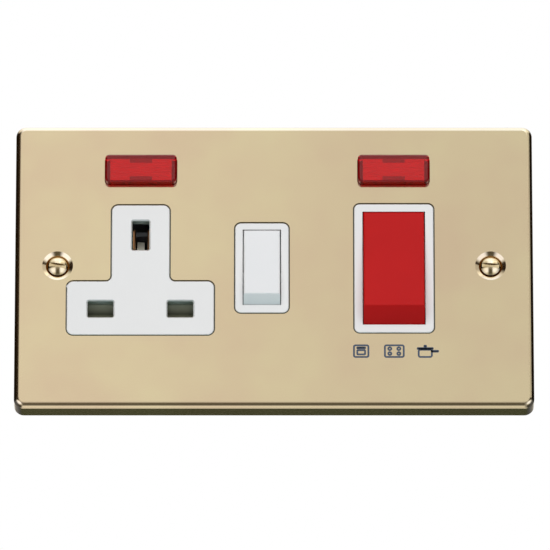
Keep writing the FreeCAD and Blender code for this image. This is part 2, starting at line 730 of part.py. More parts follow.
def shutter_spring():
    middle = (SHUTTER_FRONT + SHUTTER_BACK) / 2
    seat = SOCKET_LOW + COVER_WALL
    return coil(V(SOCKET_X, middle, seat), SHUTTER_SPRING_R - SHUTTER_SPRING_WIRE_R,
                SHUTTER_SPRING_WIRE_R, shutter_low() - seat, SHUTTER_SPRING_TURNS)


def jaw_profile(front, back):
    """Centre line of a folded contact: (depth, half opening) from one mouth to the other."""
    pinch = front + CONTACT_PINCH_BACK
    half = [(front, CONTACT_MOUTH), (pinch, CONTACT_PINCH), (back, CONTACT_HEEL)]
    return half + [(depth, -width) for depth, width in half[::-1]]


def live_contact(x):
    start = x - LIVE_CONTACT_W / 2
    points = [V(start, depth, LIVE_Z + width)
              for depth, width in jaw_profile(LIVE_CONTACT_FRONT, LIVE_CONTACT_BACK)]
    return strip(points, CONTACT_T, CONTACT_BEND, V(LIVE_CONTACT_W, 0, 0))


def line_tail(grow):
    """Flat bar from the line contact's heel to the foot of the socket switch's fulcrum."""
    switch = SOCKET_SWITCH
    y0 = LIVE_CONTACT_BACK - CONTACT_T / 2 - grow
    y1 = LIVE_CONTACT_BACK + CONTACT_T / 2 + grow
    half = STRAP_W / 2 + grow
    x1 = switch.x + half
    return box(LINE_X, x1, y0, y1, LIVE_Z - half, LIVE_Z + half)


def fulcrum(switch, pole, strap_front, strap_back):
    """Upright of a strap with the knife edge that the rocking contact turns on."""
    x0 = switch.x + pole - switch.contact_w / 2
    sweep = V(switch.contact_w, 0, 0)
    edge = prism([V(x0, switch.fulcrum_y, switch.z),
                  V(x0, strap_back, switch.z + FULCRUM_HALF),
                  V(x0, strap_back, switch.z - FULCRUM_HALF)], [0, 0, 0], sweep)
    back = box(x0, x0 + switch.contact_w, strap_front, strap_back, switch.z - FULCRUM_HALF,
               switch.z + FULCRUM_HALF)
    return fuse([edge, back])


def line_contact():
    switch = SOCKET_SWITCH
    y0 = LIVE_CONTACT_BACK - CONTACT_T / 2
    y1 = LIVE_CONTACT_BACK + CONTACT_T / 2
    half = STRAP_W / 2
    upright = box(switch.x - half, switch.x + half, y0, y1, LIVE_Z - half,
                  switch.z + FULCRUM_HALF)
    edge = fulcrum(switch, 0.0, y0, y1)
    return fuse([live_contact(LINE_X), line_tail(0), upright, edge])


def earth_stub(grow):
    """Tail of the earth contact, through the base's floor to the earth terminal."""
    half = CONTACT_HEEL - CONTACT_T / 2 + grow
    return box(SOCKET_X - half, SOCKET_X + half, EARTH_CONTACT_BACK, SOCKET_BACK,
               EARTH_BLOCK_LOW - grow, EARTH_STRAP_LOW + grow)


def earth_contact():
    low = EARTH_Z - EARTH_CONTACT_H / 2
    points = [V(SOCKET_X + width, depth, low)
              for depth, width in jaw_profile(EARTH_CONTACT_FRONT, EARTH_CONTACT_BACK)]
    jaws = strip(points, CONTACT_T, CONTACT_BEND, V(0, 0, EARTH_CONTACT_H))
    return fuse([jaws, earth_stub(0)])


def rocker_at_rest(switch, shape):
    """Turn a shape from the rocker's middle position to OFF, where its top is pressed in."""
    shape.rotate(switch.pivot(), V(1, 0, 0), -switch.throw / 2)
    return shape


def rocker(switch):
    """Hollow rocker with end walls on an arc round the pivot, trunnions and spring towers."""
    pivot = switch.pivot()
    half = switch.rocker_w / 2
    face_y = switch.pivot_y - switch.face_reach
    skirt_y = switch.pivot_y - switch.skirt_reach
    reach_z = switch.rocker_r + OUTSIDE
    drum = rod(pivot - V(half, 0, 0), pivot + V(half, 0, 0), switch.rocker_r)
    body = drum.common(box(switch.x - half, switch.x + half, face_y, skirt_y,
                           switch.z - reach_z, switch.z + reach_z))
    body = body.makeFillet(ROCKER_EDGE, edges_at(body, face_y))
    inner_half = half - ROCKER_WALL
    hollow = rod(pivot - V(inner_half, 0, 0), pivot + V(inner_half, 0, 0),
                 switch.rocker_r - ROCKER_WALL)
    hollow = hollow.common(box(switch.x - inner_half, switch.x + inner_half,
                               face_y + ROCKER_WALL, skirt_y + OUTSIDE,
                               switch.z - reach_z, switch.z + reach_z))
    pieces = [body.cut(hollow)]
    for side in (-1, 1):
        outer = switch.x + side * half
        inner = outer - side * ROCKER_CHEEK_T
        low = min(outer, inner)
        high = max(outer, inner)
        pieces.append(box(low, high, face_y + ROCKER_WALL, switch.pivot_y,
                          switch.z - ROCKER_CHEEK_R, switch.z + ROCKER_CHEEK_R))
        pieces.append(rod(V(low, switch.pivot_y, switch.z), V(high, switch.pivot_y, switch.z),
                          ROCKER_CHEEK_R))
        tip = outer + side * TRUNNION_REACH
        pieces.append(rod(V(inner, switch.pivot_y, switch.z), V(tip, switch.pivot_y, switch.z),
                          TRUNNION_R))
    bores = []
    for pole in switch.poles:
        x = switch.x + pole
        pieces.append(rod(V(x, face_y + ROCKER_WALL / 2, switch.z),
                          V(x, switch.pivot_y + TOWER_REACH, switch.z), TOWER_R))
        bores.append(rod(V(x, face_y + ROCKER_WALL, switch.z),
                         V(x, switch.pivot_y + TOWER_REACH + OUTSIDE, switch.z),
                         PLUNGER_R + PLUNGER_CLEAR))
    return rocker_at_rest(switch, fuse(pieces).cut(bores))


def plunger(switch, pole):
    """Round-nosed pin in the rocker's tower that presses on the rocking contact."""
    x = switch.x + pole
    nose_y = switch.pivot_y + switch.reach - PLUNGER_R
    tail_y = switch.pivot_y - PLUNGER_TAIL
    pin = rod(V(x, tail_y, switch.z), V(x, nose_y, switch.z), PLUNGER_R)
    nose = Part.makeSphere(PLUNGER_R, V(x, nose_y, switch.z))
    return rocker_at_rest(switch, fuse([pin, nose]))


def plunger_spring(switch, pole):
    start = switch.pivot_y - switch.face_reach + ROCKER_WALL
    end = switch.pivot_y - PLUNGER_TAIL
    spring = coil(V(0, 0, 0), PLUNGER_SPRING_R, PLUNGER_SPRING_WIRE_R, end - start,
                  PLUNGER_SPRING_TURNS)
    spring.rotate(V(0, 0, 0), V(1, 0, 0), -90)
    spring.translate(V(switch.x + pole, start, switch.z))
    return rocker_at_rest(switch, spring)


def rocking_contact(switch, pole):
    """Bar that rocks on the fulcrum; its upper end carries the silver button."""
    x = switch.x + pole
    half = switch.contact_w / 2
    bar = slab(x - half, x + half, switch.contact_front, switch.contact_back,
               switch.z - switch.contact_half, switch.z + switch.contact_half,
               switch.contact_t / 2)
    z = switch.z + switch.button_at
    button = rod(V(x, switch.contact_back, z), V(x, switch.contact_back + switch.button_h, z),
                 switch.button_r)
    contact = fuse([bar, button])
    contact.rotate(switch.fulcrum(), V(1, 0, 0), switch.tilt)
    return contact


def fixed_button(switch, pole):
    x = switch.x + pole
    z = switch.z + switch.button_at
    return rod(V(x, switch.fixed_button_y, z), V(x, switch.fixed_y, z), switch.button_r)


def socket_fixed_contact():
    switch = SOCKET_SWITCH
    half = switch.contact_w / 2
    z = switch.z + switch.button_at
    reach = switch.button_r + STRAP_T
    bar = box(switch.x - half, switch.x + half, switch.fixed_y, switch.fixed_y + STRAP_T,
              z - reach, z + reach)
    return fuse([bar, fixed_button(switch, 0.0)])


def cooker_cover():
    switch = COOKER_SWITCH
    shell = cover_shell(COOKER_LEFT, COOKER_RIGHT, COOKER_COVER_LOW, COOKER_COVER_HIGH,
                        COOKER_PARTING)
    frame = softened(frame_block(switch, 0, FACE_Y, COVER_INNER_Y))
    bosses = case_bosses(COOKER_SCREWS, COVER_INNER_Y, COOKER_PARTING)
    tabs = ears(COOKER_EARS, [COOKER_COVER_HIGH - COVER_WALL, COOKER_COVER_LOW + COVER_WALL])
    body = fuse([shell, frame] + bosses + tabs + bearings(switch, COOKER_PARTING))
    cuts = [opening_cut(switch), trunnion_bore(switch)]
    cuts += box_lugs(PLATE_INNER_Y, COOKER_PARTING + OUTSIDE)
    cuts += case_holes(COOKER_SCREWS, COOKER_PARTING - CASE_SCREW_BITE - FIT, COOKER_PARTING,
                       CASE_SCREW_R + THREAD_GAP)
    cuts += post_holes(COOKER_EARS)
    return body.cut(cuts).removeSplitter()


def terminal_ends(top):
    """Low and high end of a terminal block: the supply row is above, the load row below."""
    if top:
        low = COOKER_BOX_HIGH + TERMINAL_SEAT_GAP
        return low, low + TERMINAL_L
    high = COOKER_BOX_LOW - TERMINAL_SEAT_GAP
    return high - TERMINAL_L, high


def strap_tab(side, top, grow):
    """Wide end of a strap, sunk in the shelf under its terminal block."""
    switch = COOKER_SWITCH
    low, high = terminal_ends(top)
    inner = switch.x + side * (abs(switch.poles[0]) - STRAP_W / 2 - grow)
    outer = switch.x + side * (TERMINAL_OFFSET + grow)
    if top:
        low = COOKER_BOX_HIGH - COVER_WALL
    else:
        high = COOKER_BOX_LOW + COVER_WALL
    return box(min(inner, outer), max(inner, outer), COOKER_SHELF_BACK - STRAP_T - grow,
               COOKER_SHELF_BACK, low - grow, high + grow)


def strap_leg(side, top, grow):
    """Narrow part of a strap inside the switch chamber, bent back to the contact's level."""
    switch = COOKER_SWITCH
    pole = side * abs(switch.poles[0])
    x0 = switch.x + pole - STRAP_W / 2 - grow
    shelf_y = COOKER_SHELF_BACK - STRAP_T / 2
    back_y = switch.fixed_y + STRAP_T / 2 if top else switch.fixed_y + 3 * STRAP_T / 2
    if top:
        turn_z = COOKER_BOX_HIGH - COVER_WALL - 2 * STRAP_T
        end_z = switch.z + switch.button_at - switch.button_r - STRAP_T
        start_z = COOKER_BOX_HIGH
    else:
        turn_z = COOKER_BOX_LOW + COVER_WALL + 2 * STRAP_T
        end_z = switch.z + FULCRUM_HALF
        start_z = COOKER_BOX_LOW
    points = [V(x0, shelf_y, start_z), V(x0, shelf_y, turn_z), V(x0, back_y, turn_z),
              V(x0, back_y, end_z)]
    return strip(points, STRAP_T + 2 * grow, CONTACT_BEND, V(STRAP_W + 2 * grow, 0, 0))


def supply_strap(side):
    pole = side * abs(COOKER_SWITCH.poles[0])
    return fuse([strap_tab(side, True, 0), strap_leg(side, True, 0),
                 fixed_button(COOKER_SWITCH, pole)])


def load_strap(side):
    switch = COOKER_SWITCH
    pole = side * abs(switch.poles[0])
    front = switch.fixed_y + STRAP_T
    return fuse([strap_tab(side, False, 0), strap_leg(side, False, 0),
                 fulcrum(switch, pole, front, front + STRAP_T)])


def cooker_base():
    switch = COOKER_SWITCH
    shelf = slab(COOKER_LEFT, COOKER_RIGHT, COOKER_PARTING, COOKER_SHELF_BACK,
                 COOKER_SHELF_LOW, COOKER_SHELF_HIGH, MODULE_CORNER)
    left = switch.x - COOKER_BOX_HALF_W
    right = switch.x + COOKER_BOX_HALF_W
    chamber = slab(left, right, COOKER_PARTING, COOKER_BACK, COOKER_BOX_LOW, COOKER_BOX_HIGH,
                   MODULE_CORNER)
    columns = case_bosses(COOKER_SCREWS, COOKER_PARTING, COOKER_COLUMN)
    floor_y = COOKER_BACK - BASE_FLOOR
    hollow = box(left + COVER_WALL, right - COVER_WALL, COOKER_PARTING - OUTSIDE, floor_y,
                 COOKER_BOX_LOW + COVER_WALL, COOKER_BOX_HIGH - COVER_WALL)
    partition = box(switch.x - PARTITION_T / 2, switch.x + PARTITION_T / 2,
                    COOKER_SHELF_BACK - STRAP_T, floor_y, COOKER_BOX_LOW, COOKER_BOX_HIGH)
    barriers = []
    rows = ((COOKER_BOX_HIGH, COOKER_SHELF_HIGH), (COOKER_SHELF_LOW, COOKER_BOX_LOW))
    reach = TERMINAL_OFFSET + TERMINAL_W / 2 + TERMINAL_SEAT_GAP
    for z0, z1 in rows:
        barriers.append(box(switch.x - PARTITION_T / 2, switch.x + PARTITION_T / 2,
                            COOKER_SHELF_BACK - STRAP_T, BARRIER_BACK, z0, z1))
        for side in (-1, 1):
            x0 = switch.x + side * reach
            x1 = x0 + side * BARRIER_T
            barriers.append(box(min(x0, x1), max(x0, x1), COOKER_SHELF_BACK - STRAP_T,
                                BARRIER_BACK, z0, z1))
    shell = fuse([shelf, chamber] + columns).cut(hollow)
    body = fuse([shell, partition] + barriers + switch_supports(switch, floor_y))
    cuts = []
    for side in (-1, 1):
        for top in (True, False):
            cuts.append(strap_tab(side, top, THREAD_GAP))
            cuts.append(strap_leg(side, top, THREAD_GAP))
    cuts += case_holes(COOKER_SCREWS, COOKER_PARTING - OUTSIDE, COOKER_COLUMN + OUTSIDE,
                       CASE_HOLE_R)
    cuts += box_lugs(COOKER_PARTING - OUTSIDE, COOKER_BACK)
    return body.cut(cuts).removeSplitter()


def case_screw(x, z, seat_y, tip_y):
    """Self-tapping pan-head screw, driven from the back."""
    shank = rod(V(x, tip_y, z), V(x, seat_y, z), CASE_SCREW_R)
    head = rod(V(x, seat_y, z), V(x, seat_y + CASE_SCREW_HEAD, z), CASE_SCREW_HEAD_R)
    back = seat_y + CASE_SCREW_HEAD
    head = head.makeFillet(CASE_SCREW_HEAD / 2, edges_at(head, back))
    half_w = CASE_RECESS_W / 2
    cross = [box(x - reach_x, x + reach_x, back - CASE_RECESS, back + FIT, z - reach_z, z + reach_z)
             for reach_x, reach_z in ((CASE_SCREW_R, half_w), (half_w, CASE_SCREW_R))]
    return fuse([shank, head]).cut(cross)


def terminal_centre(side, top):
    """Middle of a cooker terminal block: x, y and z."""
    low, high = terminal_ends(top)
    return V(COOKER_SWITCH.x + side * TERMINAL_OFFSET, COOKER_SHELF_BACK + TERMINAL_D / 2,
             (low + high) / 2)


def clamp_z(side_top, centre):
    """The clamp screw sits towards the open end of the bore."""
    return centre.z + side_top * (TERMINAL_L / 2 - CLAMP_INSET)


def terminal_block(side, top):
    centre = terminal_centre(side, top)
    half_w = TERMINAL_W / 2
    y0 = COOKER_SHELF_BACK
    y1 = y0 + TERMINAL_D
    block = box(centre.x - half_w, centre.x + half_w, y0, y1, centre.z - TERMINAL_L / 2,
                centre.z + TERMINAL_L / 2)
    block = block.makeChamfer(FACE_EDGE, edges_at(block, y1))
    bore_y = y0 + TERMINAL_BORE_R + STRAP_T
    bore = rod(V(centre.x, bore_y, centre.z - TERMINAL_L), V(centre.x, bore_y,
               centre.z + TERMINAL_L), TERMINAL_BORE_R)
    z = clamp_z(1 if top else -1, centre)
    thread = rod(V(centre.x, bore_y, z), V(centre.x, y1 + OUTSIDE, z), CLAMP_R + THREAD_GAP)
    return block.cut([bore, thread])


def clamp_screw(x, z, bore_y, bore_r, block_back):
    """Slotted clamp screw, backed off so that the cable bore is free."""
    tip_y = bore_y + bore_r + CLAMP_CLEAR
    seat_y = block_back + CLAMP_STICK_OUT
    shank = rod(V(x, tip_y, z), V(x, seat_y, z), CLAMP_R)
    head = rod(V(x, seat_y, z), V(x, seat_y + CLAMP_HEAD, z), CLAMP_HEAD_R)
    back = seat_y + CLAMP_HEAD
    head = head.makeChamfer(FACE_EDGE, edges_at(head, back))
    slot = box(x - CLAMP_HEAD_R, x + CLAMP_HEAD_R, back - CLAMP_HEAD / 2, back + OUTSIDE,
               z - CLAMP_SLOT / 2, z + CLAMP_SLOT / 2)
    return fuse([shank, head]).cut(slot)


def cooker_clamp_screws(top):
    bore_y = COOKER_SHELF_BACK + TERMINAL_BORE_R + STRAP_T
    screws = []
    for side in (-1, 1):
        centre = terminal_centre(side, top)
        screws.append(clamp_screw(centre.x, clamp_z(1 if top else -1, centre), bore_y,
                                  TERMINAL_BORE_R, COOKER_SHELF_BACK + TERMINAL_D))
    return Part.makeCompound(screws)


def earth_block_sizes():
    front = SOCKET_BACK + EARTH_STRAP_T
    back = front + EARTH_BLOCK_D
    top = EARTH_BLOCK_LOW + TERMINAL_L
    bore_y = front + EARTH_BORE_R + STRAP_T
    return front, back, top, bore_y


def earth_terminal():
    front, back, top, bore_y = earth_block_sizes()
    half = EARTH_BLOCK_W / 2
    block = box(SOCKET_X - half, SOCKET_X + half, front, back, EARTH_BLOCK_LOW, top)
    block = block.makeChamfer(FACE_EDGE, edges_at(block, back))
    bore = rod(V(SOCKET_X, bore_y, EARTH_BLOCK_LOW - OUTSIDE), V(SOCKET_X, bore_y, top + OUTSIDE),
               EARTH_BORE_R)
    z = top - EARTH_CLAMP_INSET
    thread = rod(V(SOCKET_X, bore_y, z), V(SOCKET_X, back + OUTSIDE, z), CLAMP_R + THREAD_GAP)
    return block.cut([bore, thread])


def earth_clamp_screw():
    _, back, top, bore_y = earth_block_sizes()
    return clamp_screw(SOCKET_X, top - EARTH_CLAMP_INSET, bore_y, EARTH_BORE_R, back)


def earth_strap():
    """Strap from under the earth terminal, over the socket mouldings, to the plate."""
    half = EARTH_BLOCK_W / 2
    x0 = EARTH_STRAP_X - EARTH_STRAP_W / 2
    x1 = EARTH_STRAP_X + EARTH_STRAP_W / 2
    top_z = SOCKET_HIGH + CONTACT_BEND + EARTH_STRAP_T / 2
    back_y = SOCKET_BACK + EARTH_STRAP_T / 2
    front_y = PLATE_INNER_Y + EARTH_STRAP_T / 2
    foot = box(SOCKET_X - half, x1, SOCKET_BACK, SOCKET_BACK + EARTH_STRAP_T, EARTH_BLOCK_LOW,
               EARTH_BLOCK_LOW + EARTH_STRAP_W)
    run = strip([V(x0, back_y, EARTH_BLOCK_LOW), V(x0, back_y, top_z), V(x0, front_y, top_z),
                 V(x0, front_y, EARTH_STRAP_TOP)], EARTH_STRAP_T, CONTACT_BEND,
                V(EARTH_STRAP_W, 0, 0))
    x, z = STRAP_POST
    hole = rod(V(x, FACE_Y - OUTSIDE, z), V(x, 0, z), POST_HOLE_R)
    return fuse([foot, run]).cut(hole)


def push_on_washers():
    """Spring washers pressed on the plate's posts."""
    washers = []
    for x, z in SOCKET_EARS + COOKER_EARS:
        washers.append(washer(x, COVER_INNER_Y, z))
    strap_x, strap_z = STRAP_POST
    washers.append(washer(strap_x, PLATE_INNER_Y + EARTH_STRAP_T, strap_z))
    return Part.makeCompound(washers)


def washer(x, y, z):
    disc = rod(V(x, y, z), V(x, y + WASHER_T, z), WASHER_R)
    return disc.cut(rod(V(x, y - FIT, z), V(x, y + WASHER_T + FIT, z), POST_R))


def link_wire(points):
    """Round wire along straight runs joined by tangent arcs."""
    edges = []
    start = points[0]
    for index in range(1, len(points) - 1):
        corner = points[index]
        back = (points[index - 1] - corner).normalize()
        ahead = (points[index + 1] - corner).normalize()
        half = back.getAngle(ahead) / 2
        reach = LINK_BEND / math.tan(half)
        middle = corner + (back + ahead).normalize() * (LINK_BEND / math.sin(half) - LINK_BEND)
        arc_start = corner + back * reach
        arc_end = corner + ahead * reach
        edges.append(Part.makeLine(start, arc_start))
        edges.append(Part.Arc(arc_start, middle, arc_end).toShape())
        start = arc_end
    edges.append(Part.makeLine(start, points[-1]))
    path = Part.Wire(edges)
    heading = (points[1] - points[0]).normalize()
    section = Part.Wire(Part.makeCircle(LINK_R, points[0], heading))
    return path.makePipeShell([section], True, False)


def link_end(side):
    """Last points of a link: down onto the back of a supply terminal block."""
    centre = terminal_centre(side, True)
    low, _ = terminal_ends(True)
    z = low + LINK_LANDING
    back = COOKER_SHELF_BACK + TERMINAL_D
    return [V(centre.x, LINK_BACK, z), V(centre.x, back, z)]


def line_link():
    switch = SOCKET_SWITCH
    z = switch.z + switch.button_at
    start = switch.fixed_y + STRAP_T
    end = link_end(-1)
    return link_wire([V(switch.x, start, z), V(switch.x, LINK_BACK, z)] + end)


def neutral_link():
    end = link_end(1)
    start = LIVE_CONTACT_BACK + CONTACT_T / 2
    return link_wire([V(NEUTRAL_X, start, LIVE_Z), V(NEUTRAL_X, LINK_BACK, LIVE_Z)] + end)


def neon_lens(x):
    """Red window with a bevelled front, open at the back, and two snap tabs."""
    front = FACE_Y - LENS_PROUD
    body = lens_block(x, 0, front, LENS_BACK)
    body = body.makeChamfer(LENS_BEVEL, edges_at(body, front))
    half_w = LENS_W / 2 - LENS_WALL
    half_h = LENS_H / 2 - LENS_WALL
    hollow = slab(x - half_w, x + half_w, front + LENS_FRONT, LENS_BACK + OUTSIDE,
                  NEON_Z - half_h, NEON_Z + half_h, FACE_EDGE)
    tabs = []
    for side in (-1, 1):
        root = NEON_Z + side * LENS_H / 2
        tip = root + side * LENS_TAB
        inner = root - side * LENS_WALL / 2
        start = x - LENS_TAB_W / 2
        tabs.append(prism([V(start, PLATE_INNER_Y + FIT, inner),
                           V(start, PLATE_INNER_Y + FIT, tip),
                           V(start, LENS_BACK, root), V(start, LENS_BACK, inner)],
                          [0, 0, 0, 0], V(LENS_TAB_W, 0, 0)))
    return fuse([body] + tabs).cut(hollow)


def lamp_y():
    return LENS_BACK - LAMP_R - LAMP_GAP


def neon_holder(x):
    """Plate on the back of the lens, with two cradles for the lamp."""
    half_w = LENS_W / 2 - FIT
    half_h = LENS_H / 2 - FIT
    plate = slab(x - half_w, x + half_w, LENS_BACK, LENS_BACK + HOLDER_T, NEON_Z - half_h,
                 NEON_Z + half_h, LENS_CORNER)
    pieces = [plate]
    rib_h = LENS_H / 2 - LENS_WALL - FIT
    for side in (-1, 1):
        rib_x = x + side * HOLDER_RIB_X
        pieces.append(box(rib_x - HOLDER_RIB / 2, rib_x + HOLDER_RIB / 2, lamp_y(),
                          LENS_BACK + FIT, NEON_Z - rib_h, NEON_Z + rib_h))
    seat = rod(V(x - LAMP_L, lamp_y(), NEON_Z), V(x + LAMP_L, lamp_y(), NEON_Z),
               LAMP_R + THREAD_GAP)
    holes = [rod(V(x + side * LAMP_LEAD_X, LENS_BACK - OUTSIDE, NEON_Z),
                 V(x + side * LAMP_LEAD_X, OUTSIDE, NEON_Z), LAMP_LEAD_R + THREAD_GAP)
             for side in (-1, 1)]
    return fuse(pieces).cut([seat] + holes)


def resistor_y():
    return LENS_BACK + HOLDER_T + RESISTOR_R


def neon_lamp(x):
    """Glass tube with a lead from each end through the holder."""
    half = LAMP_L / 2 - LAMP_R
    pieces = [rod(V(x - half, lamp_y(), NEON_Z), V(x + half, lamp_y(), NEON_Z), LAMP_R)]
    for side in (-1, 1):
        end_x = x + side * half
        lead_x = x + side * LAMP_LEAD_X
        pieces.append(Part.makeSphere(LAMP_R, V(end_x, lamp_y(), NEON_Z)))
        pieces.append(rod(V(end_x, lamp_y(), NEON_Z), V(lead_x, lamp_y(), NEON_Z), LAMP_LEAD_R))
        pieces.append(Part.makeSphere(LAMP_LEAD_R, V(lead_x, lamp_y(), NEON_Z)))
        pieces.append(rod(V(lead_x, lamp_y(), NEON_Z), V(lead_x, resistor_y() - LAMP_LEAD_R,
                      NEON_Z), LAMP_LEAD_R))
    return fuse(pieces)


def neon_resistor(x):
    """Series resistor that lies on the back of the lamp holder, in the lamp's circuit."""
    half = RESISTOR_L / 2
    end = LAMP_LEAD_X + LAMP_LEAD_R
    body = rod(V(x - half, resistor_y(), NEON_Z), V(x + half, resistor_y(), NEON_Z), RESISTOR_R)
    body = body.makeFillet(RESISTOR_EDGE, body.Edges)
    lead = rod(V(x - end, resistor_y(), NEON_Z), V(x + end, resistor_y(), NEON_Z), LAMP_LEAD_R)
    return fuse([body, lead])


def build():
    nodes = {
        "front_plate": front_plate(),
        "fixing_screw_left": fixing_screw(-1, SCREW_SLOT_TURN_LEFT),
        "fixing_screw_right": fixing_screw(1, SCREW_SLOT_TURN_RIGHT),
        "push_on_washers": push_on_washers(),
        "socket_cover": socket_cover(),
        "socket_base": socket_base(),
        "socket_shutter": shutter(),
        "shutter_spring": shutter_spring(),
        "line_contact": line_contact(),
        "neutral_contact": live_contact(NEUTRAL_X),
        "earth_contact": earth_contact(),
        "earth_terminal": earth_terminal(),
        "earth_clamp_screw": earth_clamp_screw(),
        "earth_strap": earth_strap(),
        "socket_rocker": rocker(SOCKET_SWITCH),
        "socket_plunger": plunger(SOCKET_SWITCH, 0.0),
        "socket_plunger_spring": plunger_spring(SOCKET_SWITCH, 0.0),
        "socket_rocking_contact": rocking_contact(SOCKET_SWITCH, 0.0),
        "socket_fixed_contact": socket_fixed_contact(),
        "cooker_cover": cooker_cover(),
        "cooker_base": cooker_base(),
        "cooker_rocker": rocker(COOKER_SWITCH),
        "line_link": line_link(),
        "neutral_link": neutral_link(),
    }
    for side, pole_name in ((1, "line"), (-1, "neutral")):
        pole = side * abs(COOKER_SWITCH.poles[0])
        nodes[pole_name + "_plunger"] = plunger(COOKER_SWITCH, pole)
        nodes[pole_name + "_plunger_spring"] = plunger_spring(COOKER_SWITCH, pole)
        nodes[pole_name + "_rocking_contact"] = rocking_contact(COOKER_SWITCH, pole)
        nodes[pole_name + "_supply_strap"] = supply_strap(side)
        nodes[pole_name + "_load_strap"] = load_strap(side)
        nodes[pole_name + "_supply_terminal"] = terminal_block(side, True)
        nodes[pole_name + "_load_terminal"] = terminal_block(side, False)
    nodes["supply_clamp_screws"] = cooker_clamp_screws(True)
    nodes["load_clamp_screws"] = cooker_clamp_screws(False)
    nodes["socket_case_screws"] = Part.makeCompound(
        [case_screw(x, z, SOCKET_BACK - CASE_SCREW_HEAD, SOCKET_PARTING - CASE_SCREW_BITE)
         for x, z in SOCKET_SCREWS])
    nodes["cooker_case_screws"] = Part.makeCompound(
        [case_screw(x, z, COOKER_COLUMN, COOKER_PARTING - CASE_SCREW_BITE)
         for x, z in COOKER_SCREWS])
    for name, x in NEON_CENTRES.items():
        nodes[name + "_neon_lens"] = neon_lens(x)
        nodes[name + "_neon_holder"] = neon_holder(x)
        nodes[name + "_neon_lamp"] = neon_lamp(x)
        nodes[name + "_neon_resistor"] = neon_resistor(x)
    return nodes


for node_name, node_shape in build().items():
    print(node_name, len(node_shape.Solids), node_shape.isValid(), round(node_shape.Volume, 2))
    export(node_name, node_shape)
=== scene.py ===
"""Cooker control unit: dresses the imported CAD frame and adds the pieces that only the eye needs.

Metres, +Z up, +X right, the front faces -Y. The origin is the middle of the plate's back rim.
"""

import logging
import math
from dataclasses import dataclass
from enum import Enum

import bmesh
import bpy
import numpy as np
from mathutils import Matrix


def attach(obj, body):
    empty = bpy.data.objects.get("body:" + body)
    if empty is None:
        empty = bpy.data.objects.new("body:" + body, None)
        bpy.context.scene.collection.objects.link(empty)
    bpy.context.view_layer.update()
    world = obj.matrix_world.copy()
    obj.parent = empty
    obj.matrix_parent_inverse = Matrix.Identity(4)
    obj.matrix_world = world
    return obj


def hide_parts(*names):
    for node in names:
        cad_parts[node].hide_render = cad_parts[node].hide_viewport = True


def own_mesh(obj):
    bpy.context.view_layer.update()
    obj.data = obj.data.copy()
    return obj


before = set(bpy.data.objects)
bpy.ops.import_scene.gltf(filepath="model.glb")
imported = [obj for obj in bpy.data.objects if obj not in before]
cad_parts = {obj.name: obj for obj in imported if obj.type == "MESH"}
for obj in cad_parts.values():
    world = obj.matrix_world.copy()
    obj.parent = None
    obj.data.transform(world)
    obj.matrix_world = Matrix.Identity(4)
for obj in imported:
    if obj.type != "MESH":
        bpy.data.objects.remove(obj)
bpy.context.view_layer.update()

# A millimetre in metres
MM = 0.001
# Values of the noise at which clouds wear a finish's first and second colour
CLOUD_EDGES = (0.32, 0.68)
# Shares by which the roughness of metals and mouldings rises and falls
METAL_SPREAD = 0.2
MOULDING_SPREAD = 0.15
LOG = logging.getLogger("cooker_control_unit")

Colour = tuple[float, float, float, float]
Triple = tuple[float, float, float]
Panels = tuple[tuple[float, Colour], ...]


class Body(Enum):
    """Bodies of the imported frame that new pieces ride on."""

    HOUSING = "housing"


class Slot(Enum):
    """Material slots of the record that new pieces take their finish from."""

    PLATE = "polished_brass"
    SCREW = "screw_brass"
    CONTACT = "contact_bronze"
    SPRING = "spring_steel"
    LENS = "red_lens"


def linear(code: str) -> Colour:
    """Turn an sRGB hex colour to linear.

    Args:
        code: Six hex digits after a hash sign.

    Returns:
        Linear red, green and blue, and an alpha of one.
    """
    shares = [int(code[at : at + 2], 16) / 255 for at in (1, 3, 5)]
    low = [share / 12.92 for share in shares]
    high = [((share + 0.055) / 1.055) ** 2.4 for share in shares]
    red, green, blue = (a if s <= 0.04045 else b for s, a, b in zip(shares, low, high))
    return red, green, blue, 1.0


def add_node(tree: bpy.types.NodeTree, kind: str, inputs: dict[str | int, object] | None = None,
             stops: Panels = (), **settings: object) -> bpy.types.Node:
    """Add a node with its settings and its links.

    Args:
        tree: Tree that gets the node.
        kind: Blender's name for the kind of node.
        inputs: Socket names or places, each with a value or with the socket to link from.
        stops: Places and linear colours for the node's colour ramp, if it has one.
        **settings: Properties of the node.

    Returns:
        The new node.
    """
    made = tree.nodes.new(kind)
    for key, value in settings.items():
        setattr(made, key, value)
    for key, value in (inputs or {}).items():
        if isinstance(value, bpy.types.NodeSocket):
            tree.links.new(value, made.inputs[key])
        else:
            made.inputs[key].default_value = value
    if stops:
        elements = made.color_ramp.elements
        while len(elements) < len(stops):
            elements.new(1.0)
        for element, (place, colour) in zip(elements, stops):
            element.position = place
            element.color = colour
    return made


def grey(level: float) -> Colour:
    """Linear grey of one level."""
    return level, level, level, 1.0


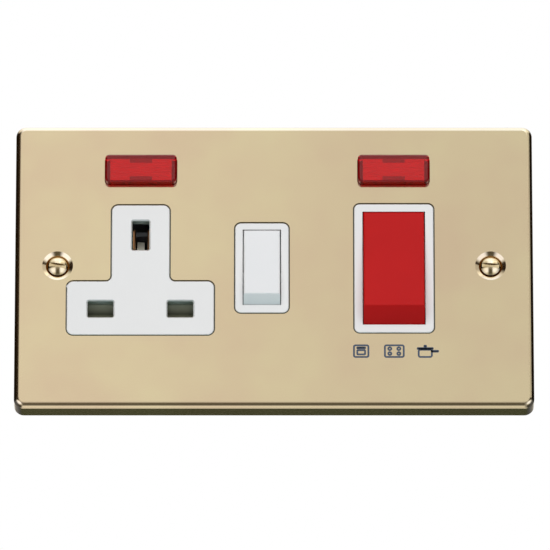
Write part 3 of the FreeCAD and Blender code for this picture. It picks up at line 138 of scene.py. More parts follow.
@dataclass(frozen=True)
class HollowShade:
    """Painted shade that gathers in grooves and small openings, where walls hide the sky.

    Attributes:
        reach_mm: How far away walls count.
        start: Share of open sky at which the painted shade starts.
        deep: Share at which it is full.
        shade: sRGB colour of the painted shade.
        roughness: Its roughness.
        own_walls: Whether only the piece's own walls count.
    """

    reach_mm: float
    start: float
    deep: float
    shade: str
    roughness: float
    own_walls: bool = True

    def over(self, tree: bpy.types.NodeTree, colour: bpy.types.NodeSocket,
             rough: bpy.types.NodeSocket) -> tuple[bpy.types.NodeSocket, bpy.types.NodeSocket]:
        """Paint shade over a finish where walls hide the sky.

        Args:
            tree: The material's tree.
            colour: The finish's colour.
            rough: The finish's roughness.

        Returns:
            The colour with its painted shade, and the roughness.
        """
        # Painted shade: ambient occlusion finds where walls hide the sky, and the colour darkens and roughens
        # there
        sky = add_node(tree, "ShaderNodeAmbientOcclusion", {"Distance": self.reach_mm * MM}, samples=8,
                       only_local=self.own_walls)
        share = add_node(tree, "ShaderNodeMapRange", {"Value": sky.outputs["AO"], "From Min": self.start,
                                                      "From Max": self.deep}).outputs["Result"]
        painted_shade_colour = add_node(tree, "ShaderNodeMix", {0: share, 6: colour, 7: linear(self.shade)},
                           data_type="RGBA")
        rougher = add_node(tree, "ShaderNodeMix", {0: share, 2: rough, 3: self.roughness})
        return painted_shade_colour.outputs[2], rougher.outputs[0]


@dataclass(frozen=True)
class Finish:
    """What every finish has: a name for its real material and its two close colours.

    Attributes:
        name: The real material's common name and how its surface was made.
        colour: Main sRGB colour.
        shade: The colour that clouds or streaks turn to.
        roughness: Roughness of the shader.
        cloud_mm: Size of the clouds of shade.
    """

    name: str
    colour: str
    shade: str
    roughness: float
    cloud_mm: float

    def tint(self, tree: bpy.types.NodeTree, place: bpy.types.NodeSocket) -> bpy.types.NodeSocket:
        """Colour that drifts between the finish's two colours in soft clouds.

        Args:
            tree: The material's tree.
            place: Coordinates of the clouds, in metres.

        Returns:
            The colour's socket.
        """
        clouds = add_node(tree, "ShaderNodeTexNoise", {"Vector": place, "Scale": 1 / (self.cloud_mm * MM),
                                                       "Detail": 3.0, "Roughness": 0.55})
        ramp = add_node(tree, "ShaderNodeValToRGB", {"Fac": clouds.outputs["Fac"]},
                        tuple(zip(CLOUD_EDGES, (linear(self.colour), linear(self.shade)))))
        return ramp.outputs["Color"]

    def waves(self, tree: bpy.types.NodeTree, place: bpy.types.NodeSocket, size_mm: float,
              depth_mm: float, detail: float,
              **under: bpy.types.NodeSocket) -> tuple[bpy.types.NodeSocket, bpy.types.NodeSocket]:
        """Press low soft waves into the surface.

        Args:
            tree: The material's tree.
            place: Coordinates of the waves, in metres.
            size_mm: Their spacing.
            depth_mm: Their height.
            detail: How many finer layers they have.
            **under: Normal of a relief that lies under them.

        Returns:
            The waves' height from 0 to 1, and the surface's normal.
        """
        noise = add_node(tree, "ShaderNodeTexNoise", {"Vector": place, "Scale": 1 / (size_mm * MM),
                                                      "Detail": detail}).outputs["Fac"]
        relief = add_node(tree, "ShaderNodeBump", {"Height": noise, "Distance": depth_mm * MM, **under})
        return noise, relief.outputs["Normal"]

    def shader(self, tree: bpy.types.NodeTree, place: bpy.types.NodeSocket) -> dict[str, object]:
        """Give the inputs of the finish's shader; each kind has its own."""
        raise NotImplementedError

    def material(self) -> bpy.types.Material:
        """Build the finish round one principled shader.

        Returns:
            The material.
        """
        material = bpy.data.materials.new(self.name)
        material.use_nodes = True
        material.diffuse_color = linear(self.colour)
        tree = material.node_tree
        tree.nodes.clear()
        place = add_node(tree, "ShaderNodeTexCoord").outputs["Object"]
        surface = add_node(tree, "ShaderNodeBsdfPrincipled", self.shader(tree, place))
        add_node(tree, "ShaderNodeOutputMaterial", {"Surface": surface.outputs["BSDF"]})
        return material


@dataclass(frozen=True)
class Metal(Finish):
    """Bare or lacquered metal with a worked grain.

    Attributes:
        grain_mm: Length of the grain's marks along X, Y and Z.
        grain_depth_mm: Depth of the marks.
        wave_mm: Spacing of the sheet's long soft waves.
        wave_depth_mm: Height of those waves.
        painted_fade: Painted shade: share by which the colour darkens from the left to the right end.
        width_mm: Width that the painted shade runs over.
        hollow_shade: Painted shade in grooves and slots.
    """

    grain_mm: Triple
    grain_depth_mm: float
    wave_mm: float = 20.0
    wave_depth_mm: float = 0.0
    painted_fade: float = 0.0
    width_mm: float = 144.4
    hollow_shade: HollowShade | None = None

    def shader(self, tree: bpy.types.NodeTree, place: bpy.types.NodeSocket) -> dict[str, object]:
        """Mix the two metal colours and press the grain and waves into the surface.

        Args:
            tree: The material's tree.
            place: Object coordinates, in metres.

        Returns:
            Inputs of the shader.
        """
        colour = self.tint(tree, place)
        # Painted shade: the colour darkens from the left to the right end
        if self.painted_fade:
            across = add_node(tree, "ShaderNodeSeparateXYZ", {"Vector": place}).outputs["X"]
            half = self.width_mm / 2 * MM
            level = add_node(tree, "ShaderNodeMapRange", {"Value": across, "From Min": -half,
                                                          "From Max": half, "To Min": 1.0,
                                                          "To Max": 1.0 - self.painted_fade},
                             interpolation_type="SMOOTHSTEP")
            colour = add_node(tree, "ShaderNodeMix", {0: 1.0, 6: colour, 7: level.outputs["Result"]},
                              data_type="RGBA", blend_type="MULTIPLY").outputs[2]
        scales = tuple(1 / (size * MM) for size in self.grain_mm)
        stretched = add_node(tree, "ShaderNodeMapping", {"Vector": place, "Scale": scales})
        grain = add_node(tree, "ShaderNodeTexNoise", {"Vector": stretched.outputs["Vector"], "Scale": 1.0,
                                                      "Detail": 4.0, "Roughness": 0.6}).outputs["Fac"]
        rough = add_node(tree, "ShaderNodeMapRange", {
            "Value": grain, "To Min": self.roughness * (1 - METAL_SPREAD),
            "To Max": self.roughness * (1 + METAL_SPREAD)}).outputs["Result"]
        # Painted shade in grooves and slots
        if self.hollow_shade:
            colour, rough = self.hollow_shade.over(tree, colour, rough)
        normal = add_node(tree, "ShaderNodeBump", {"Height": grain,
                                                   "Distance": self.grain_depth_mm * MM}).outputs["Normal"]
        if self.wave_depth_mm:
            normal = self.waves(tree, place, self.wave_mm, self.wave_depth_mm, 1.0, Normal=normal)[1]
        return {"Base Color": colour, "Metallic": 1.0, "Roughness": rough, "Normal": normal}


@dataclass(frozen=True)
class Moulding(Finish):
    """Moulded plastic: even colour, a skin that is never quite flat, and its own gloss.

    Attributes:
        peel_mm: Spacing of the skin's low waves.
        peel_depth_mm: Their height.
        ior: Index of refraction.
        gloss: Specular level of the shader.
        glow: Subsurface weight, for plastics that let light in.
        glow_mm: How far that light goes.
        hollow_shade: Painted shade in the moulding's small openings.
    """

    peel_mm: float
    peel_depth_mm: float
    ior: float = 1.5
    gloss: float = 0.5
    glow: float = 0.0
    glow_mm: float = 0.5
    hollow_shade: HollowShade | None = None

    def shader(self, tree: bpy.types.NodeTree, place: bpy.types.NodeSocket) -> dict[str, object]:
        """Mix the colours, and lay the skin's low waves over the surface.

        Args:
            tree: The material's tree.
            place: Object coordinates, in metres.

        Returns:
            Inputs of the shader.
        """
        colour = self.tint(tree, place)
        peel, normal = self.waves(tree, place, self.peel_mm, self.peel_depth_mm, 3.0)
        rough = add_node(tree, "ShaderNodeMapRange", {
            "Value": peel, "To Min": self.roughness * (1 - MOULDING_SPREAD),
            "To Max": self.roughness * (1 + MOULDING_SPREAD)}).outputs["Result"]
        # Painted shade in small openings
        if self.hollow_shade:
            colour, rough = self.hollow_shade.over(tree, colour, rough)
        return {"Base Color": colour, "Roughness": rough, "IOR": self.ior, "Specular IOR Level": self.gloss,
                "Subsurface Weight": self.glow, "Subsurface Scale": self.glow_mm * MM, "Normal": normal}


@dataclass(frozen=True)
class Graded(Moulding):
    """Moulding whose colour changes with height, for shade painted by height.

    Attributes:
        grades: Heights in millimetres, lowest first, and the sRGB colours there.
    """

    grades: tuple[tuple[float, str], ...] = ()

    def tint(self, tree: bpy.types.NodeTree, place: bpy.types.NodeSocket) -> bpy.types.NodeSocket:
        """Multiply the moulding's clouds by the colour of their height.

        Args:
            tree: The material's tree.
            place: Object coordinates, in metres.

        Returns:
            The colour's socket.
        """
        low, high = self.grades[0][0], self.grades[-1][0]
        height = add_node(tree, "ShaderNodeSeparateXYZ", {"Vector": place}).outputs["Z"]
        along = add_node(tree, "ShaderNodeMapRange", {"Value": height, "From Min": low * MM,
                                                      "From Max": high * MM})
        ramp = add_node(tree, "ShaderNodeValToRGB", {"Fac": along.outputs["Result"]},
                        tuple(((at - low) / (high - low), linear(code)) for at, code in self.grades))
        return add_node(tree, "ShaderNodeMix", {0: 1.0, 6: super().tint(tree, place),
                                                7: ramp.outputs["Color"]},
                        data_type="RGBA", blend_type="MULTIPLY").outputs[2]


@dataclass(frozen=True)
class Clear(Finish):
    """Clear tinted plastic or glass.

    Attributes:
        ior: Index of refraction.
        ripple_mm: Spacing of the faint ripples from moulding or drawing.
        ripple_depth_mm: Their height.
        clarity: Share of the light that goes straight through; the rest is scattered back.
    """

    ior: float
    ripple_mm: float
    ripple_depth_mm: float
    clarity: float = 1.0

    def shader(self, tree: bpy.types.NodeTree, place: bpy.types.NodeSocket) -> dict[str, object]:
        """Let light through the tint, with faint ripples in both faces.

        Args:
            tree: The material's tree.
            place: Object coordinates, in metres.

        Returns:
            Inputs of the shader.
        """
        _, normal = self.waves(tree, place, self.ripple_mm, self.ripple_depth_mm, 2.0)
        return {"Base Color": self.tint(tree, place), "Roughness": self.roughness, "IOR": self.ior,
                "Transmission Weight": self.clarity, "Normal": normal}


@dataclass(frozen=True)
class Banded(Finish):
    """Lacquered resistor body with painted code bands round it.

    Attributes:
        centre_mm: X of the body's middle.
        half_mm: Half the length that the bands spread over.
        bands: Places along that length, from 0 to 1, and the bands' colours.
        band_share: Width of a band as a share of the length.
        peel_depth_mm: Height of the lacquer's low waves.
    """

    centre_mm: float
    half_mm: float
    bands: tuple[tuple[float, str], ...]
    band_share: float
    peel_depth_mm: float = 0.01

    def shader(self, tree: bpy.types.NodeTree, place: bpy.types.NodeSocket) -> dict[str, object]:
        """Paint hard-edged bands along X over the lacquer.

        Args:
            tree: The material's tree.
            place: Object coordinates, in metres.

        Returns:
            Inputs of the shader.
        """
        across = add_node(tree, "ShaderNodeSeparateXYZ", {"Vector": place}).outputs["X"]
        along = add_node(tree, "ShaderNodeMapRange", {"Value": across,
                                                      "From Min": (self.centre_mm - self.half_mm) * MM,
                                                      "From Max": (self.centre_mm + self.half_mm) * MM})
        stops = [(0.0, linear(self.colour))]
        for at, code in self.bands:
            stops.append((at - self.band_share / 2, linear(code)))
            stops.append((at + self.band_share / 2, linear(self.colour)))
        paint = add_node(tree, "ShaderNodeValToRGB", {"Fac": along.outputs["Result"]}, tuple(stops))
        paint.color_ramp.interpolation = "CONSTANT"
        _, normal = self.waves(tree, place, self.cloud_mm, self.peel_depth_mm, 2.0)
        return {"Base Color": paint.outputs["Color"], "Roughness": self.roughness, "Normal": normal}


# Lacquered polished brass sheet: a pale champagne mirror with soft clouds and pinkish patches, and painted
# shade that darkens it towards its right end
PLATE_BRASS = Metal("polished_brass_sheet", "#E9D8AF", "#E4CDAA", roughness=0.13, cloud_mm=30.0,
                    grain_mm=(9.0, 9.0, 1.2), grain_depth_mm=0.0004, wave_mm=24.0, wave_depth_mm=0.012,
                    painted_fade=0.13)
# Turned brass: a deeper gold than the plate, with fine rings left by the lathe, and painted shade, a dark
# brown, in the head's groove and slot
SCREW_BRASS = Metal("turned_brass", "#E9D8B0", "#DCC596", roughness=0.12, cloud_mm=2.0,
                    grain_mm=(0.5, 0.05, 0.5), grain_depth_mm=0.001,
                    hollow_shade=HollowShade(reach_mm=0.9, start=0.78, deep=0.4, shade="#7E500F", roughness=0.4,
                                  own_walls=False))
# Extruded brass bar, sawn and drilled: a duller yellow with straight draw marks
BAR_BRASS = Metal("drawn_brass_bar", "#D9B468", "#BF9749", roughness=0.3, cloud_mm=5.0,
                  grain_mm=(0.08, 0.08, 3.0), grain_depth_mm=0.004)
# Rolled phosphor bronze strip: a warm copper tone, with fine lines along the roll
BRONZE = Metal("rolled_phosphor_bronze", "#C99464", "#AC7A50", roughness=0.32, cloud_mm=6.0,
               grain_mm=(2.5, 0.06, 0.06), grain_depth_mm=0.003)
# Zinc-plated steel: cool grey with a faint straw haze from the passivation
ZINC = Metal("zinc_plated_steel", "#C3C8CC", "#B9B496", roughness=0.28, cloud_mm=3.0,
             grain_mm=(0.4, 0.4, 0.4), grain_depth_mm=0.003)
# Hard-drawn spring wire and strip: grey-brown oil-tempered steel
SPRING = Metal("oil_tempered_spring_steel", "#8C8883", "#6C6660", roughness=0.34, cloud_mm=1.5,
               grain_mm=(0.3, 0.3, 0.3), grain_depth_mm=0.002)

# Moulded urea: clean white, high gloss, a faint orange-peel skin, and painted shade where its own walls are
# near, as inside the socket's apertures
WHITE_UREA = Moulding("moulded_white_urea", "#F1F0EF", "#EEEDEC", roughness=0.24, cloud_mm=22.0,
                      peel_mm=2.2, peel_depth_mm=0.0012, ior=1.55, gloss=0.3,
                      hollow_shade=HollowShade(reach_mm=6.0, start=1.0, deep=0.75, shade="#8E9184", roughness=0.4))
# Moulded polycarbonate rocker: white, a little cooler and glossier than the frame
WHITE_ROCKER = Moulding("moulded_white_polycarbonate", "#EFEFEF", "#ECEDED", roughness=0.2, cloud_mm=18.0,
                        peel_mm=3.0, peel_depth_mm=0.0012, ior=1.58, gloss=0.3)
# The same polycarbonate in signal red: a deep even red with a soft sheen
RED_ROCKER = Moulding("moulded_red_polycarbonate", "#C51818", "#BF1717", roughness=0.3, cloud_mm=16.0,
                      peel_mm=3.0, peel_depth_mm=0.0014, ior=1.58, gloss=0.07)
# Glass-filled nylon: mid grey and matt, with fibres that just show in the skin
GREY_NYLON = Moulding("glass_filled_grey_nylon", "#8E9296", "#83878B", roughness=0.52, cloud_mm=1.2,
                      peel_mm=0.35, peel_depth_mm=0.006, ior=1.53, gloss=0.4)
# Acetal shutter: pale grey and slightly waxy, with painted shade that darkens it below the earth-pin tongue,
# most in the crease behind the live apertures
SHUTTER_ACETAL = Graded("moulded_grey_acetal", "#F2F3EC", "#E6E7DE", roughness=0.4, cloud_mm=3.0,
                        peel_mm=0.8, peel_depth_mm=0.002, ior=1.48, gloss=0.3,
                        grades=((-15.8, "#8C8E7E"), (-12.9, "#46493A"), (-11.0, "#8E907F"),
                                (3.0, "#7A7C6E"), (6.5, "#E2E4DC")))
# Natural nylon: milky and slightly see-through at its edges
NATURAL_NYLON = Moulding("natural_nylon", "#E9E4D3", "#DFD9C5", roughness=0.42, cloud_mm=2.0,
                         peel_mm=0.6, peel_depth_mm=0.002, ior=1.53, gloss=0.4, glow=0.4, glow_mm=0.6)
# PVC insulation in the two standard colours: soft sheen, faint waves from extrusion
BROWN_PVC = Moulding("extruded_brown_pvc", "#6B3F22", "#5F371D", roughness=0.38, cloud_mm=4.0,
                     peel_mm=1.6, peel_depth_mm=0.006, ior=1.53, gloss=0.45)
BLUE_PVC = Moulding("extruded_blue_pvc", "#2460A8", "#1F5698", roughness=0.38, cloud_mm=4.0,
                    peel_mm=1.6, peel_depth_mm=0.006, ior=1.53, gloss=0.45)
# Pad-printed ink: thin, dark blue-grey, with a slightly uneven film
INK = Moulding("pad_printed_ink", "#3C4B5F", "#46566A", roughness=0.45, cloud_mm=0.6, peel_mm=0.15,
               peel_depth_mm=0.001)

# Clear red polycarbonate: light goes in white and comes back deep red. Its index stands a little
# under the bulk's, so that the front mirrors as weakly as a moulded skin does
RED_CLEAR = Clear("clear_red_polycarbonate", "#FA1A20", "#F4161C", roughness=0.08, cloud_mm=12.0,
                  ior=1.47, ripple_mm=2.5, ripple_depth_mm=0.002, clarity=0.8)
# The lens's own ribs, seen through its front: they scatter the light back as an even red
RED_RIBS = Moulding("ribbed_red_polycarbonate", "#FF3A34", "#FF2E2A", roughness=0.35, cloud_mm=8.0,
                    peel_mm=1.0, peel_depth_mm=0.001, ior=1.58, gloss=0.05)
# The snap tabs and flange of the lens, in their own shadow
RED_TABS = Moulding("shaded_red_polycarbonate", "#4A1416", "#421214", roughness=0.4, cloud_mm=4.0,
                    peel_mm=1.0, peel_depth_mm=0.001, ior=1.58, gloss=0.2)
# Thin lime glass of the neon lamp, faintly grey
LAMP_GLASS = Clear("lime_glass_tube", "#F4F1EA", "#EFEBE2", roughness=0.03, cloud_mm=4.0, ior=1.52,
                   ripple_mm=1.5, ripple_depth_mm=0.004)


def grid_faces(rows: int, columns: int, closed: bool) -> np.ndarray:
    """Quads of a grid whose columns close into a ring.

    Args:
        rows: Number of rings.
        columns: Points in each ring.
        closed: Whether the last ring also joins the first.

    Returns:
        Corner numbers, four to a face.
    """
    last = rows if closed else rows - 1
    row, column = np.meshgrid(np.arange(last), np.arange(columns), indexing="ij")
    below = (row + 1) % rows
    right = (column + 1) % columns
    corners = (row * columns + column, row * columns + right, below * columns + right,
               below * columns + column)
    return np.stack(corners, axis=-1).reshape(-1, 4)


def ring_piece(name: str, rings: np.ndarray, finish: bpy.types.Material,
               closed: bool = False, smooth_deg: float = 30.0) -> bpy.types.Object:
    """Make a closed piece of a stack of rings, with a flat cap on each open end.

    Args:
        name: Name of the piece.
        rings: Points, ring by ring, in metres.
        finish: Material of the piece.
        closed: Whether the last ring joins the first, so that there are no caps.
        smooth_deg: Angle up to which neighbouring faces shade as one.

    Returns:
        The piece, riding on the housing.
    """
    rows, columns = rings.shape[:2]
    faces = grid_faces(rows, columns, closed).tolist()
    if not closed:
        faces.append(np.arange(columns).tolist())
        faces.append(((rows - 1) * columns + np.arange(columns)).tolist())
    mesh = bpy.data.meshes.new(name)
    mesh.from_pydata(rings.reshape(-1, 3).tolist(), [], faces)
    whole = bmesh.new()
    whole.from_mesh(mesh)
    bmesh.ops.recalc_face_normals(whole, faces=whole.faces)
    whole.to_mesh(mesh)
    whole.free()
    mesh.materials.append(finish)
    mesh.shade_smooth()
    mesh.set_sharp_from_angle(angle=math.radians(smooth_deg))
    piece = bpy.data.objects.new(name, mesh)
    bpy.context.scene.collection.objects.link(piece)
    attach(piece, Body.HOUSING.value)
    LOG.info("%s: %d faces", name, len(mesh.polygons))
    return piece


def rounded_outline(half_w: float, half_h: float, corner: float, steps: int = 8) -> np.ndarray:
    """Rectangle with round corners: each corner's arc is its centre plus the radius turned a quarter.

    Args:
        half_w: Half the width, along X.
        half_h: Half the height, along Z.
        corner: Radius of the corners.
        steps: Runs in each arc.

    Returns:
        Points as (x, z) rows, once round.
    """
    quarter = np.linspace(0, math.pi / 2, steps + 1)
    turn = np.arange(4)[:, None] * math.pi / 2 + quarter[None, :]
    signs = np.array([[1, 1], [-1, 1], [-1, -1], [1, -1]])
    centres = signs * np.array([half_w - corner, half_h - corner])
    x = centres[:, 0, None] + corner * np.cos(turn)
    z = centres[:, 1, None] + corner * np.sin(turn)
    return np.stack([x, z], axis=-1).reshape(-1, 2)


def at_depth(outline: np.ndarray, x: float, y: float, z: float) -> np.ndarray:
    """Lay an outline in the XZ plane at one depth.

    Args:
        outline: Points as (x, z) rows.
        x: Place of the outline's middle along X.
        y: Depth of all its points.
        z: Place of its middle along Z.

    Returns:
        Points as (x, y, z) rows.
    """
    return np.stack([x + outline[:, 0], np.full(len(outline), y), z + outline[:, 1]], axis=-1)


@dataclass
class FixingScrew:
    """The thread on the shank of one fixing screw, M3.5 at its standard pitch.

    Attributes:
        side: -1 for the left screw and 1 for the right one.
        x_mm: Distance of the screw from the plate's middle.
        pitch_mm: Rise of the thread in a turn.
        root_mm: Radius at the foot of the thread, just inside the shank.
        crest_mm: Radius at its crest.
        start_mm: Depth at which the thread starts.
        end_mm: Depth at which it ends.
        flank: Share of the pitch from the crest to either foot.
        fade_turns: Turns over which it rises from the shank at both ends.
        steps: Points of the helix in a turn.
    """

    side: int
    x_mm: float = 60.325
    pitch_mm: float = 0.6
    root_mm: float = 1.68
    crest_mm: float = 1.81
    start_mm: float = 0.3
    end_mm: float = 18.6
    flank: float = 0.42
    fade_turns: float = 0.5
    steps: int = 28

    def build(self, finish: bpy.types.Material) -> bpy.types.Object:
        """Carry a low triangle round a helix; at both ends it sinks into the shank.

        Args:
            finish: Material of the thread.

        Returns:
            The piece.
        """
        turns = (self.end_mm - self.start_mm) / self.pitch_mm
        count = int(turns * self.steps) + 1
        share = np.linspace(0, 1, count)
        angle = share * turns * 2 * math.pi
        ends = np.clip(np.minimum(share, 1 - share) * turns / self.fade_turns, 0, 1)
        crest = self.root_mm + (self.crest_mm - self.root_mm) * ends
        radii = np.stack([np.full(count, self.root_mm), crest, np.full(count, self.root_mm)], axis=-1)
        rise = self.start_mm + share * (self.end_mm - self.start_mm)
        offset = np.array([-self.flank, 0.0, self.flank]) * self.pitch_mm
        x = self.side * self.x_mm + radii * np.cos(angle)[:, None]
        z = radii * np.sin(angle)[:, None]
        y = rise[:, None] + offset[None, :]
        name = ("left" if self.side < 0 else "right") + "_screw_thread"
        return ring_piece(name, np.stack([x, y, z], axis=-1) * MM, finish)


@dataclass
class NeonIndicator:
    """Red window of one neon indicator: its clear shell, ribs, snap tabs and flange.

    Attributes:
        name: Which indicator it is.
        x_mm: Middle of the window along X.
        z_mm: Middle of the window along Z.
        width_mm: Outer width.
        height_mm: Outer height.
        corner_mm: Radius of the outer corners.
        inner_corner_mm: Least radius of the inner corners.
        front_mm: Depth of the front face.
        back_mm: Depth of the shell's back rim.
        bevel_mm: Width of the bevel round the front.
        wall_mm: Thickness of the side walls.
        drop_mm: How far the bottom wall is thinner than the others.
        front_wall_mm: Thickness of the front.
        rib_pitch_mm: Spacing of the ribs.
        rib_depth_mm: Depth of the ribs.
        rib_body_mm: Thickness of the pane behind them.
        rib_steps: Points down the ribs' profile.
        tab_w_mm: Width of a snap tab.
        tab_h_mm: Height of a snap tab.
        tab_round_mm: How far a tab's ends narrow.
        gap_mm: Clearance round the ribs and tabs.
        flange_front_mm: Depth of the flange's front.
        flange_mm: Thickness of the flange.
        flange_lap_mm: How far it reaches out.
    """

    name: str
    x_mm: float
    z_mm: float = 28.65
    width_mm: float = 20.0
    height_mm: float = 8.3
    corner_mm: float = 1.2
    inner_corner_mm: float = 0.3
    front_mm: float = -9.0
    back_mm: float = -2.6
    bevel_mm: float = 0.5
    wall_mm: float = 1.4
    drop_mm: float = 0.8
    front_wall_mm: float = 0.5
    rib_pitch_mm: float = 0.5
    rib_depth_mm: float = 0.24
    rib_body_mm: float = 0.2
    rib_steps: int = 160
    tab_w_mm: float = 6.2
    tab_h_mm: float = 1.0
    tab_round_mm: float = 0.15
    gap_mm: float = 0.05
    flange_front_mm: float = -5.38
    flange_mm: float = 0.14
    flange_lap_mm: float = 0.7

    def shell(self, finish: bpy.types.Material) -> bpy.types.Object:
        """Stack rounded outlines: front, bevel, side, back rim, and back up the inside.

        Args:
            finish: Clear material of the shell.

        Returns:
            The piece, which stands for the CAD lens.
        """
        inner_y = self.front_mm + self.front_wall_mm
        rows = ((self.bevel_mm, 0.0, self.front_mm), (0.0, 0.0, self.front_mm + self.bevel_mm),
                (0.0, 0.0, self.back_mm), (self.wall_mm, self.drop_mm, self.back_mm),
                (self.wall_mm, self.drop_mm, inner_y))
        rings = []
        for inset, drop, y in rows:
            outline = rounded_outline(self.width_mm / 2 - inset, (self.height_mm + drop) / 2 - inset,
                                      max(self.corner_mm - inset, self.inner_corner_mm))
            rings.append(at_depth(outline, self.x_mm, y, self.z_mm - drop / 2))
        piece = ring_piece(self.name + "_lens_shell", np.array(rings) * MM, finish)
        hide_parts(self.name + "_neon_lens")
        return piece

    def ribs(self, finish: bpy.types.Material) -> bpy.types.Object:
        """Pane whose front is a row of half-round ribs: a sine of z, swept along X.

        Args:
            finish: Material of the ribs.

        Returns:
            The piece.
        """
        half_h = (self.height_mm + self.drop_mm) / 2 - self.wall_mm - self.gap_mm
        half_w = self.width_mm / 2 - self.wall_mm - self.gap_mm
        z = np.linspace(-half_h, half_h, self.rib_steps)
        crest = self.front_mm + self.front_wall_mm + self.gap_mm
        y = crest + self.rib_depth_mm * np.abs(np.sin(math.pi * z / self.rib_pitch_mm))
        back = crest + self.rib_depth_mm + self.rib_body_mm
        profile_z = np.concatenate([z, [half_h, -half_h]])
        profile_y = np.concatenate([y, [back, back]])
        rings = []
        for end in (-half_w, half_w):
            rings.append(np.stack([np.full(len(profile_z), self.x_mm + end), profile_y,
                                   self.z_mm - self.drop_mm / 2 + profile_z], axis=-1))
        return ring_piece(self.name + "_lens_ribs", np.array(rings) * MM, finish,
                          smooth_deg=60.0)

    def flange(self, finish: bpy.types.Material) -> bpy.types.Object:
        """Thin flange behind the plate, close round the shell: two rounded outlines joined.

        Args:
            finish: Material of the flange.

        Returns:
            The piece.
        """
        rings = []
        back = self.flange_front_mm + self.flange_mm
        for grow, y in ((0.0, self.flange_front_mm), (self.flange_lap_mm, self.flange_front_mm),
                        (self.flange_lap_mm, back), (0.0, back)):
            outline = rounded_outline(self.width_mm / 2 + grow, self.height_mm / 2 + grow,
                                      self.corner_mm + grow)
            rings.append(at_depth(outline, self.x_mm, y, self.z_mm))
        return ring_piece(self.name + "_lens_flange", np.array(rings) * MM, finish,
                          closed=True)

    def tabs(self, finish: bpy.types.Material) -> list[bpy.types.Object]:
        """Two snap tabs, seen through the front: a wedge each, wider at its root.

        Args:
            finish: Material of the tabs.

        Returns:
            The two pieces.
        """
        made = []
        for side, label in ((1, "top"), (-1, "bottom")):
            root = (self.height_mm + self.drop_mm) / 2 - self.wall_mm - self.gap_mm
            tip = root - self.tab_h_mm
            front = self.front_mm + self.front_wall_mm + self.gap_mm / 2
            back = front + self.rib_depth_mm
            profile = np.array([[front, root], [front, tip], [back, tip - self.gap_mm], [back, root]])
            rings = []
            for end, shrink in ((-1, self.tab_round_mm), (-1, 0.0), (1, 0.0), (1, self.tab_round_mm)):
                x = self.x_mm + end * (self.tab_w_mm / 2 - shrink)
                z = profile[:, 1] + np.array([0, shrink, shrink, 0])
                rings.append(np.stack([np.full(len(z), x), profile[:, 0],
                                       self.z_mm - self.drop_mm / 2 + side * z], axis=-1))
            made.append(ring_piece(f"{self.name}_lens_tab_{label}", np.array(rings) * MM, finish))
        return made


@dataclass
class EarthLip:
    """One lead-in lip of the earth contact, just behind its aperture.

    Attributes:
        side: -1 for the left lip and 1 for the right one.
        x_mm: Middle of the aperture.
        low_mm: Height of the strip's lower end.
        high_mm: Height of its upper end.
        thick_mm: Thickness of the strip.
        corner_mm: Radius of its two front corners.
        line_mm: Depths and half gaps that the strip's middle passes through, front to back.
        end_steps: Points up each rounded end.
        steps: Points along the strip's line.
    """

    side: int
    x_mm: float = -37.0
    low_mm: float = 5.4
    high_mm: float = 12.6
    thick_mm: float = 0.3
    corner_mm: float = 1.2
    line_mm: tuple[tuple[float, float], ...] = (
        (-3.4, 2.15), (-2.4, 1.85), (-1.2, 1.72), (0.6, 1.8), (2.6, 2.3), (4.75, 2.75))
    end_steps: int = 10
    steps: int = 24

    def build(self, finish: bpy.types.Material) -> bpy.types.Object:
        """Sweep a curved strip up Z; near both ends its front edge draws back on a quarter circle.

        Args:
            finish: Material of the strip.

        Returns:
            The piece.
        """
        height = self.high_mm - self.low_mm
        z = np.concatenate([np.linspace(0, self.corner_mm, self.end_steps),
                            np.linspace(height - self.corner_mm, height, self.end_steps)])
        near_end = np.clip(1 - np.minimum(z, height - z) / self.corner_mm, 0, 1)
        start = self.corner_mm * (1 - np.sqrt(1 - near_end**2))
        depths, gaps = np.array(self.line_mm).T
        share = np.linspace(0, 1, self.steps)
        y = depths[0] + start[:, None] + (depths[-1] - depths[0] - start[:, None]) * share[None, :]
        middle = np.interp(y, depths, gaps)
        half = self.thick_mm / 2
        x = np.concatenate([middle - half, (middle + half)[:, ::-1]], axis=1)
        y = np.concatenate([y, y[:, ::-1]], axis=1)
        z = np.repeat((self.low_mm + z)[:, None], x.shape[1], axis=1)
        name = "earth_lip_" + ("left" if self.side < 0 else "right")
        return ring_piece(name, np.stack([self.x_mm + self.side * x, y, z], axis=-1) * MM, finish,
                          smooth_deg=40.0)


